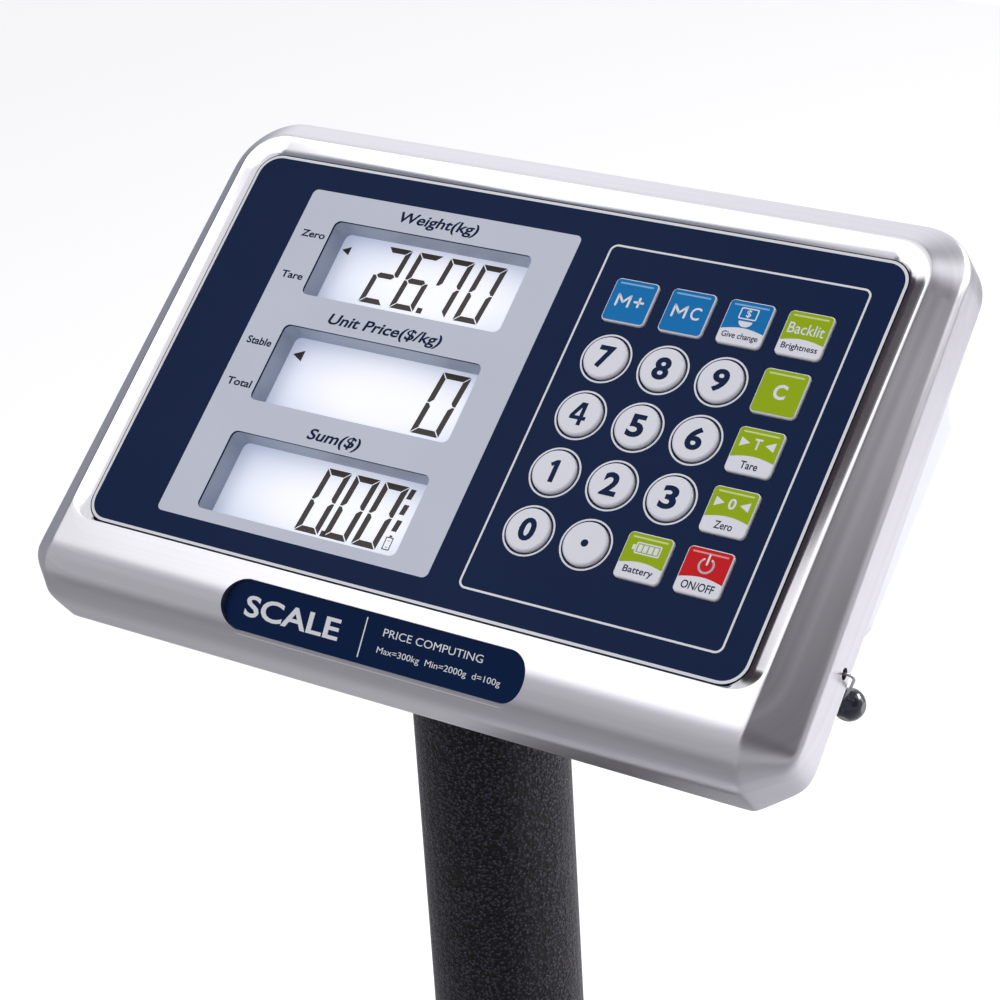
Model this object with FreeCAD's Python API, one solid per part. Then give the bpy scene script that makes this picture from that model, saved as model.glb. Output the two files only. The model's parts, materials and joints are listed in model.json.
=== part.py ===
import FreeCAD, Part
import math
import os

from FreeCAD import Vector

# ---------------------------------------------------------------------------
# Price scale on a column: a stainless head with display and keys, a round
# column, and a weighing platform on a single load cell. Millimetres, degrees.
# World frame: +Z up, +X to the operator's right, the operator stands at -Y.
# Head frame: +x right, +y up the panel, +z out of the panel; its origin is on
# the panel's surface, on the centre line, level with the first row of keys.
# ---------------------------------------------------------------------------

# keys
keyPitch = 19.0
rowPitch = 19.05
firstKeyX = 34.1
roundKeyRadius = 6.9
squareKeySize = 14.5
squareKeyCorner = 1.6
keyGap = 0.3
keyTravel = 0.8
roundKeyHeight = 1.1
squareKeyHeight = 0.8
keyFlangeMargin = 1.2
keyFlangeThickness = 1.2

# panel
panelSlope = 38.5
panelHalfWidth = 114.5
panelTop = 28.3
panelBottom = -105.8
panelCorner = 7.5
panelGap = 0.3
overlayThickness = 0.8
carrierThickness = 3.0
wellDepth = 8.2

# windows over the three displays
windowLeft = -77.0
windowRight = -3.9
windowTop = 9.1
windowHeight = 27.0
windowPitch = 38.0
windowCorner = 2.2

# stainless shell of the head
steel = 1.2
frontZ = 1.15
crestHalfWidth = 120.7
crestTop = 35.5
crestCorner = 12.5
facetAngle = 39.5
facetReach = 14.5
wallHalfWidthTop = 127.9
wallHalfWidthBottom = 133.8
shellTop = 44.65
shellBottom = -130.5
shellCorner = 17.0
lipRadius = 15.2
shellBackTop = -20.0
shellBackBottom = -24.0
returnDepth = 6.0

# seal through the right wall
sealY = -87.8
sealZ = -18.6
sealHoleRadius = 1.75
sealWireRadius = 0.45
sealBend = 1.5
sealBeadRadius = 4.7
sealBeadTop = Vector(130.1, -90.8, -30.0)

# badge in the lip
badgeLength = 105.4
badgeHeight = 15.2
badgeY = -119.0
badgeZ = -1.6
badgeTilt = 17.0
badgeThickness = 1.0

# plastic back cover of the head
plastic = 2.5
coverGap = 0.3
bulgeHalfWidth = 115.0
bulgeEdge = 7.0
bulgeRearTop = (36.5, -20.9)
bulgeRearBottom = (13.5, -67.8)
bulgeUnderRear = (-58.5, -67.8)
bulgeUnderFrontY = -113.0
rearWindowLength = 160.0
rearWindowHeight = 30.0

# column, its socket under the head and its foot
columnRadius = 24.0
columnWall = 2.0
columnAhead = 35.7
undersideZ = 690.0
socketDrop = 20.0
socketBearing = 27.0
socketWall = 3.0
runningGap = 0.06
columnFootSize = 90.0
columnFootThickness = 8.0

# platform
trayWidth = 400.0
trayDepth = 500.0
trayTopZ = 129.5
trayThickness = 1.5
traySkirt = 54.0
columnGap = 30.0
railWidth = 40.0
railHeight = 30.0
railWall = 2.0
railZ = 22.0
baseRailX = 165.0
frameRailX = 150.0
cellLength = 150.0
cellWidth = 40.0
cellHeight = 32.0
cellBoltOffset = 60.0
footRadius = 22.0
footStudRadius = 5.0

# ---- worked out from the above ---------------------------------------------
slope = math.radians(panelSlope)
facetFall = math.tan(math.radians(facetAngle))
crestShift = math.tan(math.radians(facetAngle / 2.0))
plateBottom = -(overlayThickness + carrierThickness)
headRear = bulgeRearBottom[0] * math.cos(slope) - bulgeRearBottom[1] * math.sin(slope)
columnToTray = columnRadius + columnGap
columnY = (trayDepth + columnToTray - columnAhead - headRear) / 2.0
trayRearY = columnY - columnToTray
trayFrontY = trayRearY - trayDepth
trayCentreY = trayRearY - trayDepth / 2.0
undersideDrop = bulgeUnderRear[0] * math.sin(slope) + bulgeUnderRear[1] * math.cos(slope)
headZ = undersideZ - undersideDrop
bulgeUnderFront = (bulgeUnderFrontY,
                   (undersideDrop - bulgeUnderFrontY * math.sin(slope)) / math.cos(slope))
headPlacement = FreeCAD.Placement(
    Vector(0, columnY + columnAhead, headZ),
    FreeCAD.Rotation(Vector(1, 0, 0), panelSlope))
wallTaper = (wallHalfWidthBottom - wallHalfWidthTop) / (shellTop - shellBottom)
sealWallX = wallHalfWidthBottom - (sealY - shellBottom) * wallTaper

os.makedirs("parts", exist_ok=True)


# ---- helpers ------------------------------------------------------------------
def save(name, shape):
    # one STEP file for each piece
    shape.exportStep("parts/" + name + ".step")


def saveHead(name, shape):
    # a piece drawn in the head frame, set on the column
    placed = shape.copy()
    placed.Placement = headPlacement.multiply(placed.Placement)
    save(name, placed)


def box(x0, x1, y0, y1, z0, z1):
    return Part.makeBox(x1 - x0, y1 - y0, z1 - z0, Vector(x0, y0, z0))


def rod(radius, start, end):
    span = end - start
    return Part.makeCylinder(radius, span.Length, start, span)


def hexBar(acrossFlats, height, base):
    reach = acrossFlats / math.sqrt(3.0)
    corners = []
    for step in range(7):
        turn = math.radians(60.0 * step)
        corners.append(base + Vector(reach * math.cos(turn), reach * math.sin(turn), 0))
    face = Part.Face(Part.makePolygon(corners))
    return face.extrude(Vector(0, 0, height))


def roundedWire(corners, radii, z):
    # closed outline through corners, counter-clockwise, with one radius at each
    edges = []
    starts = []
    ends = []
    mids = []
    count = len(corners)
    for i in range(count):
        here = Vector(corners[i][0], corners[i][1], z)
        before = Vector(corners[i - 1][0], corners[i - 1][1], z)
        after = Vector(corners[(i + 1) % count][0], corners[(i + 1) % count][1], z)
        toBefore = (before - here).normalize()
        toAfter = (after - here).normalize()
        half = toBefore.getAngle(toAfter) / 2.0
        setback = radii[i] / math.tan(half)
        bisector = (toBefore + toAfter).normalize()
        centre = here + bisector * (radii[i] / math.sin(half))
        starts.append(here + toBefore * setback)
        ends.append(here + toAfter * setback)
        mids.append(centre - bisector * radii[i])
    for i in range(count):
        edges.append(Part.Arc(starts[i], mids[i], ends[i]).toShape())
        edges.append(Part.LineSegment(ends[i], starts[(i + 1) % count]).toShape())
    return Part.Wire(edges)


def roundedPlate(x0, x1, y0, y1, radius, z0, z1):
    corners = [(x0, y0), (x1, y0), (x1, y1), (x0, y1)]
    wire = roundedWire(corners, [radius] * 4, z0)
    return Part.Face(wire).extrude(Vector(0, 0, z1 - z0))


def panelPlate(grow, z0, z1):
    # the panel's own outline, grown by a margin
    return roundedPlate(-panelHalfWidth - grow, panelHalfWidth + grow,
                        panelBottom - grow, panelTop + grow,
                        panelCorner + grow, z0, z1)


def sideSlab(points, halfWidth):
    # a prism across the head with its outline given in y and z
    corners = [Vector(-halfWidth, y, z) for y, z in points]
    corners.append(corners[0])
    face = Part.Face(Part.makePolygon(corners))
    return face.extrude(Vector(2.0 * halfWidth, 0, 0))


# ---- the form of the stainless head --------------------------------------------
def profileWire(x, cut):
    # section of the head across x: flat front, rolled lip, flat bottom
    farTop = shellTop + 20.0
    farBack = -60.0
    lipCentre = Vector(x, shellBottom + lipRadius, frontZ - lipRadius)
    radius = lipRadius - cut
    a = Vector(x, farTop, frontZ - cut)
    b = Vector(x, lipCentre.y, frontZ - cut)
    diagonal = radius * math.sqrt(0.5)
    middle = lipCentre + Vector(0, -diagonal, diagonal)
    c = Vector(x, shellBottom + cut, lipCentre.z)
    d = Vector(x, shellBottom + cut, farBack)
    e = Vector(x, farTop, farBack)
    edges = [
        Part.LineSegment(a, b).toShape(),
        Part.Arc(b, middle, c).toShape(),
        Part.LineSegment(c, d).toShape(),
        Part.LineSegment(d, e).toShape(),
        Part.LineSegment(e, a).toShape(),
    ]
    return Part.Wire(edges)


def facetedBody(inset):
    # the rolled body with a slanted facet down each side that follows the lip
    crest = crestHalfWidth - inset * crestShift
    middle = Part.Face(profileWire(-crest, inset)).extrude(Vector(2.0 * crest, 0, 0))
    deep = inset + facetReach * facetFall
    for side in (-1.0, 1.0):
        inner = profileWire(side * crest, inset)
        outer = profileWire(side * (crest + facetReach), deep)
        middle = middle.fuse(Part.makeLoft([inner, outer], True, True))
    return middle


def crestCone(inset):
    # the same facet along the top edge and round the two top corners
    z0 = frontZ - inset
    z1 = z0 - facetReach * facetFall
    farBottom = shellBottom - 30.0
    wires = []
    for grow, z in ((0.0, z0), (facetReach, z1)):
        half = crestHalfWidth - inset * crestShift + grow
        top = crestTop - inset * crestShift + grow
        corners = [(-half, farBottom), (half, farBottom), (half, top), (-half, top)]
        radius = crestCorner - inset * crestShift + grow
        wires.append(roundedWire(corners, [1.0, 1.0, radius, radius], z))
    cone = Part.makeLoft(wires, True, True)
    below = Part.Face(wires[1]).extrude(Vector(0, 0, -60.0))
    return cone.fuse(below)


def wallPrism(inset, z0, z1):
    # the tapered outline of the head's walls
    top = wallHalfWidthTop - inset
    bottom = wallHalfWidthBottom - inset
    low = shellBottom + inset
    high = shellTop - inset
    corners = [(-bottom, low), (bottom, low), (top, high), (-top, high)]
    wire = roundedWire(corners, [shellCorner - inset] * 4, z0)
    return Part.Face(wire).extrude(Vector(0, 0, z1 - z0))


def backCut(shift):
    # everything behind the slanted back plane of the steel, moved by shift
    far = 60.0
    run = shellTop - shellBottom
    fall = (shellBackTop - shellBackBottom) / run
    low = shellBackBottom + shift - fall * far
    high = shellBackTop + shift + fall * far
    outline = [(shellBottom - far, low), (shellTop + far, high),
               (shellTop + far, -120.0), (shellBottom - far, -120.0)]
    return sideSlab(outline, 200.0)


def headForm(inset):
    form = facetedBody(inset).common(crestCone(inset))
    form = form.common(wallPrism(inset, -60.0, 20.0))
    return form.removeSplitter()


def badgePlate(grow, z0, z1):
    # a stadium on the badge's own tilted plane
    reach = badgeLength / 2.0 + grow
    half = badgeHeight / 2.0 + grow
    plate = roundedPlate(-reach, reach, -half, half, half - 0.01, z0, z1)
    plate.Placement = FreeCAD.Placement(
        Vector(0, badgeY, badgeZ), FreeCAD.Rotation(Vector(1, 0, 0), badgeTilt))
    return plate


def frontShell():
    outer = headForm(0.0)
    inner = headForm(steel)
    shell = outer.cut(inner)
    # the panel opening, with a return of the sheet all round it
    ring = panelPlate(panelGap + steel, -returnDepth, frontZ)
    ring = ring.cut(panelPlate(panelGap, -returnDepth - 1.0, frontZ + 1.0))
    shell = shell.fuse(ring)
    shell = shell.cut(panelPlate(panelGap, -returnDepth - 1.0, frontZ + 1.0))
    # the sheet slopes down from its crest to the panel along the sides and the top
    low = roundedWire([(-panelHalfWidth, panelBottom - 0.2), (panelHalfWidth, panelBottom - 0.2),
                       (panelHalfWidth, panelTop), (-panelHalfWidth, panelTop)],
                      [panelCorner] * 4, 0.0)
    high = roundedWire([(-crestHalfWidth, panelBottom - 0.5), (crestHalfWidth, panelBottom - 0.5),
                        (crestHalfWidth, crestTop), (-crestHalfWidth, crestTop)],
                       [crestCorner] * 4, frontZ)
    shell = shell.cut(Part.makeLoft([low, high], True, True))
    # the pan that holds the badge
    pan = badgePlate(steel, -badgeThickness - steel, 8.0).common(outer)
    shell = shell.fuse(pan)
    shell = shell.cut(badgePlate(0.15, -badgeThickness, 20.0))
    shell = shell.cut(backCut(0.0))
    # the hole for the seal, near the back edge of the right wall
    shell = shell.cut(rod(sealHoleRadius, Vector(125.0, sealY, sealZ), Vector(140.0, sealY, sealZ)))
    return shell.removeSplitter()


saveHead("front_shell", frontShell())


# ---- front of the head: overlay, carrier, displays, keys -------------------------
numberKeys = [
    ["seven", "eight", "nine"],
    ["four", "five", "six"],
    ["one", "two", "three"],
    ["zero", "point"],
]
squareKeys = [
    ("memory_add", 0, 0), ("memory_clear", 1, 0), ("give_change", 2, 0), ("backlight", 3, 0),
    ("clear", 3, 1), ("tare", 3, 2), ("set_zero", 3, 3),
    ("battery_state", 2, 4), ("on_off", 3, 4),
]
roundKeys = []
for rowIndex, names in enumerate(numberKeys):
    for columnIndex, keyName in enumerate(names):
        roundKeys.append((keyName, columnIndex, rowIndex + 1))


def keyCentre(column, row):
    return Vector(firstKeyX + column * keyPitch, -row * rowPitch, 0)


def roundPlug(radius, centre, z0, z1):
    return Part.makeCylinder(radius, z1 - z0, Vector(centre.x, centre.y, z0))


def squarePlug(grow, centre, z0, z1):
    half = squareKeySize / 2.0 + grow
    return roundedPlate(centre.x - half, centre.x + half, centre.y - half, centre.y + half,
                        squareKeyCorner + grow, z0, z1)


def keyHoles(z0, z1):
    holes = []
    for name, column, row in roundKeys:
        holes.append(roundPlug(roundKeyRadius + keyGap, keyCentre(column, row), z0, z1))
    for name, column, row in squareKeys:
        holes.append(squarePlug(keyGap, keyCentre(column, row), z0, z1))
    return Part.makeCompound(holes)


def windowBlocks(grow, z0, z1):
    blocks = []
    for index in range(3):
        top = windowTop - index * windowPitch + grow
        bottom = windowTop - index * windowPitch - windowHeight - grow
        blocks.append(roundedPlate(windowLeft - grow, windowRight + grow, bottom, top,
                                   windowCorner + grow, z0, z1))
    return blocks


def keypadOverlay():
    sheet = panelPlate(0.0, -overlayThickness, 0.0)
    sheet = sheet.cut(keyHoles(-2.0, 1.0))
    return sheet.cut(Part.makeCompound(windowBlocks(0.0, -2.0, 1.0)))


def panelCarrier():
    body = panelPlate(0.0, plateBottom, -overlayThickness)
    wall = panelPlate(0.0, -9.0, plateBottom).cut(panelPlate(-2.0, -10.0, 0.0))
    foot = panelPlate(3.5, -9.0, -returnDepth - 0.2).cut(panelPlate(-2.0, -10.0, 0.0))
    body = body.fuse([wall, foot])
    body = body.fuse(windowBlocks(1.5, -wellDepth, plateBottom))
    body = body.cut(Part.makeCompound(windowBlocks(0.0, -12.0, 1.0)))
    return body.cut(keyHoles(-12.0, 1.0)).removeSplitter()


def roundKey(column, row):
    centre = keyCentre(column, row)
    low = plateBottom - 0.05
    cap = roundPlug(roundKeyRadius, centre, low, roundKeyHeight)
    rim = [edge for edge in cap.Edges if edge.BoundBox.ZMin > roundKeyHeight - 0.01]
    cap = cap.makeFillet(0.8, rim)
    flange = roundPlug(roundKeyRadius + keyFlangeMargin, centre, low - keyFlangeThickness, low)
    return cap.fuse(flange).removeSplitter()


def squareKey(column, row):
    centre = keyCentre(column, row)
    low = plateBottom - 0.05
    cap = squarePlug(0.0, centre, low, squareKeyHeight)
    rim = [edge for edge in cap.Edges if edge.BoundBox.ZMin > squareKeyHeight - 0.01]
    cap = cap.makeFillet(0.5, rim)
    flange = squarePlug(keyFlangeMargin, centre, low - keyFlangeThickness, low)
    return cap.fuse(flange).removeSplitter()


def keyField(margin, z0, z1):
    first = keyCentre(0, 4)
    last = keyCentre(3, 0)
    return box(first.x - margin, last.x + margin, first.y - margin, last.y + margin, z0, z1)


keyFlangeBottom = plateBottom - 0.05 - keyFlangeThickness
matTop = keyFlangeBottom - keyTravel - 0.15
boardTop = matTop - 1.0

saveHead("keypad_overlay", keypadOverlay())
saveHead("panel_carrier", panelCarrier())
for keyName, columnIndex, rowIndex in roundKeys:
    saveHead("key_" + keyName, roundKey(columnIndex, rowIndex))
for keyName, columnIndex, rowIndex in squareKeys:
    saveHead("key_" + keyName, squareKey(columnIndex, rowIndex))
saveHead("key_mat", keyField(10.0, boardTop, matTop))
saveHead("keypad_board", keyField(11.5, boardTop - 1.6, boardTop))
saveHead("lcd_panels", Part.makeCompound(windowBlocks(3.0, -wellDepth - 2.8, -wellDepth)))
saveHead("lcd_backlights", Part.makeCompound(windowBlocks(2.0, -15.0, -wellDepth - 2.8)))
saveHead("display_board", box(-88.0, 6.0, -100.0, 15.0, -16.6, -15.0))
saveHead("badge_plate", badgePlate(0.0, -badgeThickness, 0.0))


# ---- back of the head --------------------------------------------------------------
def meet(first, second, third, inset):
    # the corner at second, moved inward by inset from both of its sides
    ax, ay = second[0] - first[0], second[1] - first[1]
    bx, by = third[0] - second[0], third[1] - second[1]
    a = math.hypot(ax, ay)
    b = math.hypot(bx, by)
    ax, ay, bx, by = ax / a, ay / a, bx / b, by / b
    half = math.atan2(ax * by - ay * bx, ax * bx + ay * by) / 2.0
    nx, ny = -ay - by, ax + bx
    n = math.hypot(nx, ny)
    reach = inset / math.cos(half)
    return (second[0] + nx / n * reach, second[1] + ny / n * reach)


def bulge(inset, frontShift):
    # the box behind the steel: rear face, back face and level underside
    front = max(bulgeUnderFront[1], bulgeRearTop[1]) + frontShift
    loop = [(bulgeUnderFront[0], front), bulgeUnderFront, bulgeUnderRear,
            bulgeRearBottom, bulgeRearTop, (bulgeRearTop[0], front)]
    points = [(0, 0)]
    for i in range(1, 5):
        points.append(meet(loop[i - 1], loop[i], loop[i + 1], inset))
    points[0] = (points[1][0], front)
    points.append((points[4][0], front))
    return sideSlab(points, bulgeHalfWidth - inset)


def softBulge():
    form = bulge(0.0, 2.0)
    chosen = []
    for edge in form.Edges:
        bounds = edge.BoundBox
        behind = bounds.ZMin < -30.0
        notFront = bounds.Center.z < -28.0
        if behind and notFront:
            chosen.append(edge)
    return form.makeFillet(bulgeEdge, chosen)


# a local frame on the rear face, for the window that faces the customer
rearRun = Vector(0, bulgeRearTop[0] - bulgeRearBottom[0], bulgeRearTop[1] - bulgeRearBottom[1])
rearMiddle = Vector(0, (bulgeRearTop[0] + bulgeRearBottom[0]) / 2.0,
                    (bulgeRearTop[1] + bulgeRearBottom[1]) / 2.0)
rearTurn = math.degrees(math.atan2(rearRun.z, rearRun.y))
rearPlacement = FreeCAD.Placement(rearMiddle, FreeCAD.Rotation(Vector(1, 0, 0), rearTurn))


def rearPlate(halfLength, halfHeight, radius, z0, z1):
    # a plate on the rear face; z grows towards the inside of the head
    plate = roundedPlate(-halfLength, halfLength, -halfHeight, halfHeight, radius, z0, z1)
    plate.Placement = rearPlacement
    return plate


coverScrewXY = [(-118.0, 25.0), (118.0, 25.0), (-121.5, -45.0), (121.5, -45.0),
                (-121.5, -105.0), (121.5, -105.0)]


def backZ(y):
    share = (y - shellBottom) / (shellTop - shellBottom)
    return shellBackBottom + share * (shellBackTop - shellBackBottom)


socketX = 34.0
socketY = 20.0
socketScrewXY = [(-socketX, -socketY), (socketX, -socketY), (socketX, socketY), (-socketX, socketY)]
chargeX = 80.0
chargeY = -20.0


def toHead(shape):
    # world shape brought back into the head frame, to cut a head piece with it
    local = shape.copy()
    local.Placement = headPlacement.inverse().multiply(local.Placement)
    return local


def backCover():
    flange = headForm(steel + coverGap).common(backCut(plastic)).cut(backCut(0.0))
    cover = flange.fuse(softBulge()).cut(bulge(plastic, 20.0))
    rearFront = rearPlate(rearWindowLength / 2.0 - 2.0, rearWindowHeight / 2.0 - 2.0, 3.0, -6.0, 6.0)
    rearSeat = rearPlate(rearWindowLength / 2.0 + 0.2, rearWindowHeight / 2.0 + 0.2, 4.0, -6.0, 1.3)
    cover = cover.cut([rearFront, rearSeat])
    sleeve = Part.makeCylinder(columnRadius + runningGap + socketWall + 0.3, 30.0,
                               Vector(0, columnY, undersideZ - 15.0))
    cover = cover.cut(toHead(sleeve))
    for x, y in socketScrewXY:
        hole = Part.makeCylinder(2.1, 10.0, Vector(x, columnY + y, undersideZ - 5.0))
        cover = cover.cut(toHead(hole))
    for x, y in coverScrewXY:
        cover = cover.cut(Part.makeCylinder(1.6, 10.0, Vector(x, y, backZ(y) - 5.0)))
    inlet = Part.makeCylinder(6.05, 12.0, Vector(chargeX, columnY + chargeY, undersideZ - 5.0))
    return cover.cut(toHead(inlet)).removeSplitter()


def coverScrew(x, y):
    seat = backZ(y) - 0.25
    head = Part.makeCylinder(2.9, 2.0, Vector(x, y, seat - 2.0))
    slot = box(x - 2.0, x + 2.0, y - 0.4, y + 0.4, seat - 2.1, seat - 1.1)
    crossSlot = box(x - 0.4, x + 0.4, y - 2.0, y + 2.0, seat - 2.1, seat - 1.1)
    shank = Part.makeCylinder(1.45, 7.0, Vector(x, y, seat))
    return head.fuse(shank).cut([slot, crossSlot])


def chargeSocket():
    # a round socket with a centre pin, set in the underside
    top = undersideZ + plastic
    centre = Vector(chargeX, columnY + chargeY, 0)
    ring = Part.makeCylinder(8.0, 1.2, centre + Vector(0, 0, undersideZ - 1.2))
    body = Part.makeCylinder(5.9, 12.0, centre + Vector(0, 0, undersideZ))
    hole = Part.makeCylinder(2.8, 10.0, centre + Vector(0, 0, undersideZ - 2.0))
    pin = Part.makeCylinder(1.0, 8.5, centre + Vector(0, 0, undersideZ - 0.2))
    nut = hexBar(15.0, 2.5, centre + Vector(0, 0, top)).cut(
        Part.makeCylinder(5.9, 4.0, centre + Vector(0, 0, top - 0.5)))
    return ring.fuse([body, nut]).cut(hole).fuse(pin)


def headSocket():
    # flanged sleeve: the flange bolts inside the cover, the sleeve turns on the column
    bore = columnRadius + runningGap
    low = undersideZ - socketDrop
    high = low + socketBearing
    centre = Vector(0, columnY, 0)
    sleeve = Part.makeCylinder(bore + socketWall, socketBearing + 3.0, centre + Vector(0, 0, low))
    plateZ = undersideZ + plastic + 0.05
    flange = roundedPlate(-40.0, 40.0, -28.0, 27.0, 5.0, plateZ, plateZ + 4.0)
    flange.translate(centre)
    boss = rod(7.0, Vector(0, columnY + columnRadius, low + 9.0),
               Vector(0, columnY + columnRadius + 11.0, low + 9.0))
    body = sleeve.fuse([flange, boss])
    body = body.cut(Part.makeCylinder(bore, socketBearing, centre + Vector(0, 0, low)))
    body = body.cut(Part.makeCylinder(15.0, 50.0, centre + Vector(0, 0, low)))
    thread = rod(3.0 + runningGap, Vector(0, columnY, low + 9.0),
                 Vector(0, columnY + 60.0, low + 9.0))
    body = body.cut(thread)
    for x, y in socketScrewXY:
        body = body.cut(Part.makeCylinder(1.7, 12.0, Vector(x, columnY + y, undersideZ)))
    return body.removeSplitter()


def socketScrews():
    screws = []
    for x, y in socketScrewXY:
        base = Vector(x, columnY + y, undersideZ)
        head = Part.makeCylinder(3.6, 2.4, base - Vector(0, 0, 2.45))
        key = hexBar(2.5, 1.5, base - Vector(0, 0, 2.5))
        shank = Part.makeCylinder(1.65, 7.0, base - Vector(0, 0, 0.05))
        screws.append(head.fuse(shank).cut(key))
    return Part.makeCompound(screws)


def lockKnob():
    # a lobed knob on a screw that grips the column
    z = undersideZ - socketDrop + 9.0
    tip = columnY + columnRadius + 0.1
    seat = columnY + columnRadius + 11.3
    screw = rod(3.0, Vector(0, tip, z), Vector(0, seat + 4.0, z))
    grip = rod(12.0, Vector(0, seat, z), Vector(0, seat + 12.0, z))
    hollows = []
    for step in range(6):
        turn = math.radians(60.0 * step)
        centre = Vector(14.5 * math.cos(turn), 0, 14.5 * math.sin(turn))
        hollows.append(rod(4.2, Vector(centre.x, seat - 1.0, z + centre.z),
                           Vector(centre.x, seat + 13.0, z + centre.z)))
    grip = grip.cut(hollows)
    dish = rod(5.0, Vector(0, seat + 11.0, z), Vector(0, seat + 13.0, z))
    return grip.cut(dish).fuse(screw).removeSplitter()


def sealWire():
    # wire through the wall, bent once, down to the bead behind the steel
    start = Vector(sealWallX - 4.5, sealY, sealZ)
    corner = Vector(sealWallX + 3.4, sealY, sealZ)
    back = (start - corner).normalize()
    down = (sealBeadTop - corner).normalize()
    half = back.getAngle(down) / 2.0
    bisector = (back + down).normalize()
    enter = corner + back * (sealBend / math.tan(half))
    leave = corner + down * (sealBend / math.tan(half))
    middle = corner + bisector * (sealBend / math.sin(half) - sealBend)
    path = Part.Wire([Part.LineSegment(start, enter).toShape(),
                      Part.Arc(enter, middle, leave).toShape(),
                      Part.LineSegment(leave, sealBeadTop).toShape()])
    section = Part.Wire([Part.Circle(start, back, sealWireRadius).toShape()])
    return path.makePipeShell([section], True, False)


def sealBead():
    # a ball with flat ends
    centre = sealBeadTop - Vector(0, 0, 3.8)
    ball = Part.makeSphere(sealBeadRadius, centre)
    flat = 4.4
    bead = ball.common(box(centre.x - flat, centre.x + flat, centre.y - flat, centre.y + flat,
                           centre.z - sealBeadRadius, sealBeadTop.z))
    return bead.cut(sealWire())


saveHead("back_cover", backCover())
saveHead("cover_screws", Part.makeCompound([coverScrew(x, y) for x, y in coverScrewXY]))
save("charge_socket", chargeSocket())
save("head_socket", headSocket())
save("socket_screws", socketScrews())
save("lock_knob", lockKnob())
saveHead("seal_wire", sealWire())
saveHead("seal_bead", sealBead())
saveHead("rear_window", rearPlate(rearWindowLength / 2.0, rearWindowHeight / 2.0, 4.0, 0.1, 1.3)
         .fuse(rearPlate(rearWindowLength / 2.0 - 2.2, rearWindowHeight / 2.0 - 2.2, 3.0, 1.3, 2.4)))
saveHead("rear_lcd", rearPlate(rearWindowLength / 2.0 - 6.0, rearWindowHeight / 2.0 - 3.0,
                               1.0, 3.2, 6.0))
saveHead("main_board", box(15.0, 105.0, -62.0, 10.0, -38.6, -37.0))
saveHead("battery", box(-108.0, -12.0, -40.0, 12.0, -63.5, -39.5))


# ---- column --------------------------------------------------------------------------
def columnTube():
    low = railZ + railHeight + 6.0 + columnFootThickness
    high = undersideZ - socketDrop + socketBearing - 1.0
    outer = Part.makeCylinder(columnRadius, high - low, Vector(0, columnY, low))
    return outer.cut(Part.makeCylinder(columnRadius - columnWall, high - low, Vector(0, columnY, low)))


def columnCap():
    # bush in the column's top that the socket rests on; the cable runs through it
    high = undersideZ - socketDrop + socketBearing
    rim = Part.makeCylinder(columnRadius - 0.3, 0.95, Vector(0, columnY, high - 1.0))
    plug = Part.makeCylinder(columnRadius - columnWall - 0.05, 14.0, Vector(0, columnY, high - 15.0))
    return rim.fuse(plug).cut(Part.makeCylinder(13.0, 20.0, Vector(0, columnY, high - 18.0)))


footBoltXY = [(-33.0, -33.0), (33.0, -33.0), (33.0, 33.0), (-33.0, 33.0)]
bracketZ = railZ + railHeight
footZ = bracketZ + 6.0


def columnFoot():
    half = columnFootSize / 2.0
    plate = roundedPlate(-half, half, columnY - half, columnY + half, 8.0,
                         footZ, footZ + columnFootThickness)
    for x, y in footBoltXY:
        plate = plate.cut(Part.makeCylinder(4.3, 20.0, Vector(x, columnY + y, footZ - 1.0)))
    return plate.cut(Part.makeCylinder(15.0, 20.0, Vector(0, columnY, footZ - 1.0)))


def footBolts():
    bolts = []
    for x, y in footBoltXY:
        base = Vector(x, columnY + y, 0)
        head = hexBar(13.0, 5.3, base + Vector(0, 0, footZ + columnFootThickness + 1.6))
        washer = Part.makeCylinder(8.0, 1.6, base + Vector(0, 0, footZ + columnFootThickness))
        shank = Part.makeCylinder(4.0, 24.0, base + Vector(0, 0, bracketZ - 8.0))
        nut = hexBar(13.0, 6.5, base + Vector(0, 0, bracketZ - 6.5))
        bolts.append(head.fuse([washer, shank, nut]))
    return Part.makeCompound(bolts)


def columnBracket():
    # an inverted channel, welded on the rear rail, that carries the column's foot
    front = trayRearY - 48.0
    rear = columnY + columnFootSize / 2.0 + 6.0
    top = box(-56.0, 56.0, front, rear, bracketZ, footZ)
    webs = [box(-56.0, -51.0, trayRearY + 0.5, rear, railZ, bracketZ),
            box(51.0, 56.0, trayRearY + 0.5, rear, railZ, bracketZ),
            box(-51.0, 51.0, rear - 5.0, rear, railZ, bracketZ)]
    plate = top.fuse(webs)
    for x, y in footBoltXY:
        plate = plate.cut(Part.makeCylinder(4.3, 20.0, Vector(x, columnY + y, bracketZ - 1.0)))
    return plate.cut(Part.makeCylinder(15.0, 20.0, Vector(0, columnY, bracketZ - 1.0))).removeSplitter()


save("column_tube", columnTube())
save("column_cap", columnCap())
save("column_foot", columnFoot())
save("foot_bolts", footBolts())
save("column_bracket", columnBracket())


# ---- platform --------------------------------------------------------------------------
def railAlongY(x, y0, y1, z):
    # square tube with a plate welded in each end
    outer = box(x - railWidth / 2.0, x + railWidth / 2.0, y0, y1, z, z + railHeight)
    bore = box(x - railWidth / 2.0 + railWall, x + railWidth / 2.0 - railWall,
               y0 + railWall, y1 - railWall, z + railWall, z + railHeight - railWall)
    drain = Part.makeCylinder(3.0, 10.0, Vector(x, (y0 + y1) / 2.0, z - 2.0))
    return outer.cut([bore, drain])


def railAlongX(y, x0, x1, z):
    outer = box(x0, x1, y - railWidth / 2.0, y + railWidth / 2.0, z, z + railHeight)
    bore = box(x0, x1, y - railWidth / 2.0 + railWall, y + railWidth / 2.0 - railWall,
               z + railWall, z + railHeight - railWall)
    return outer.cut(bore)


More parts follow.
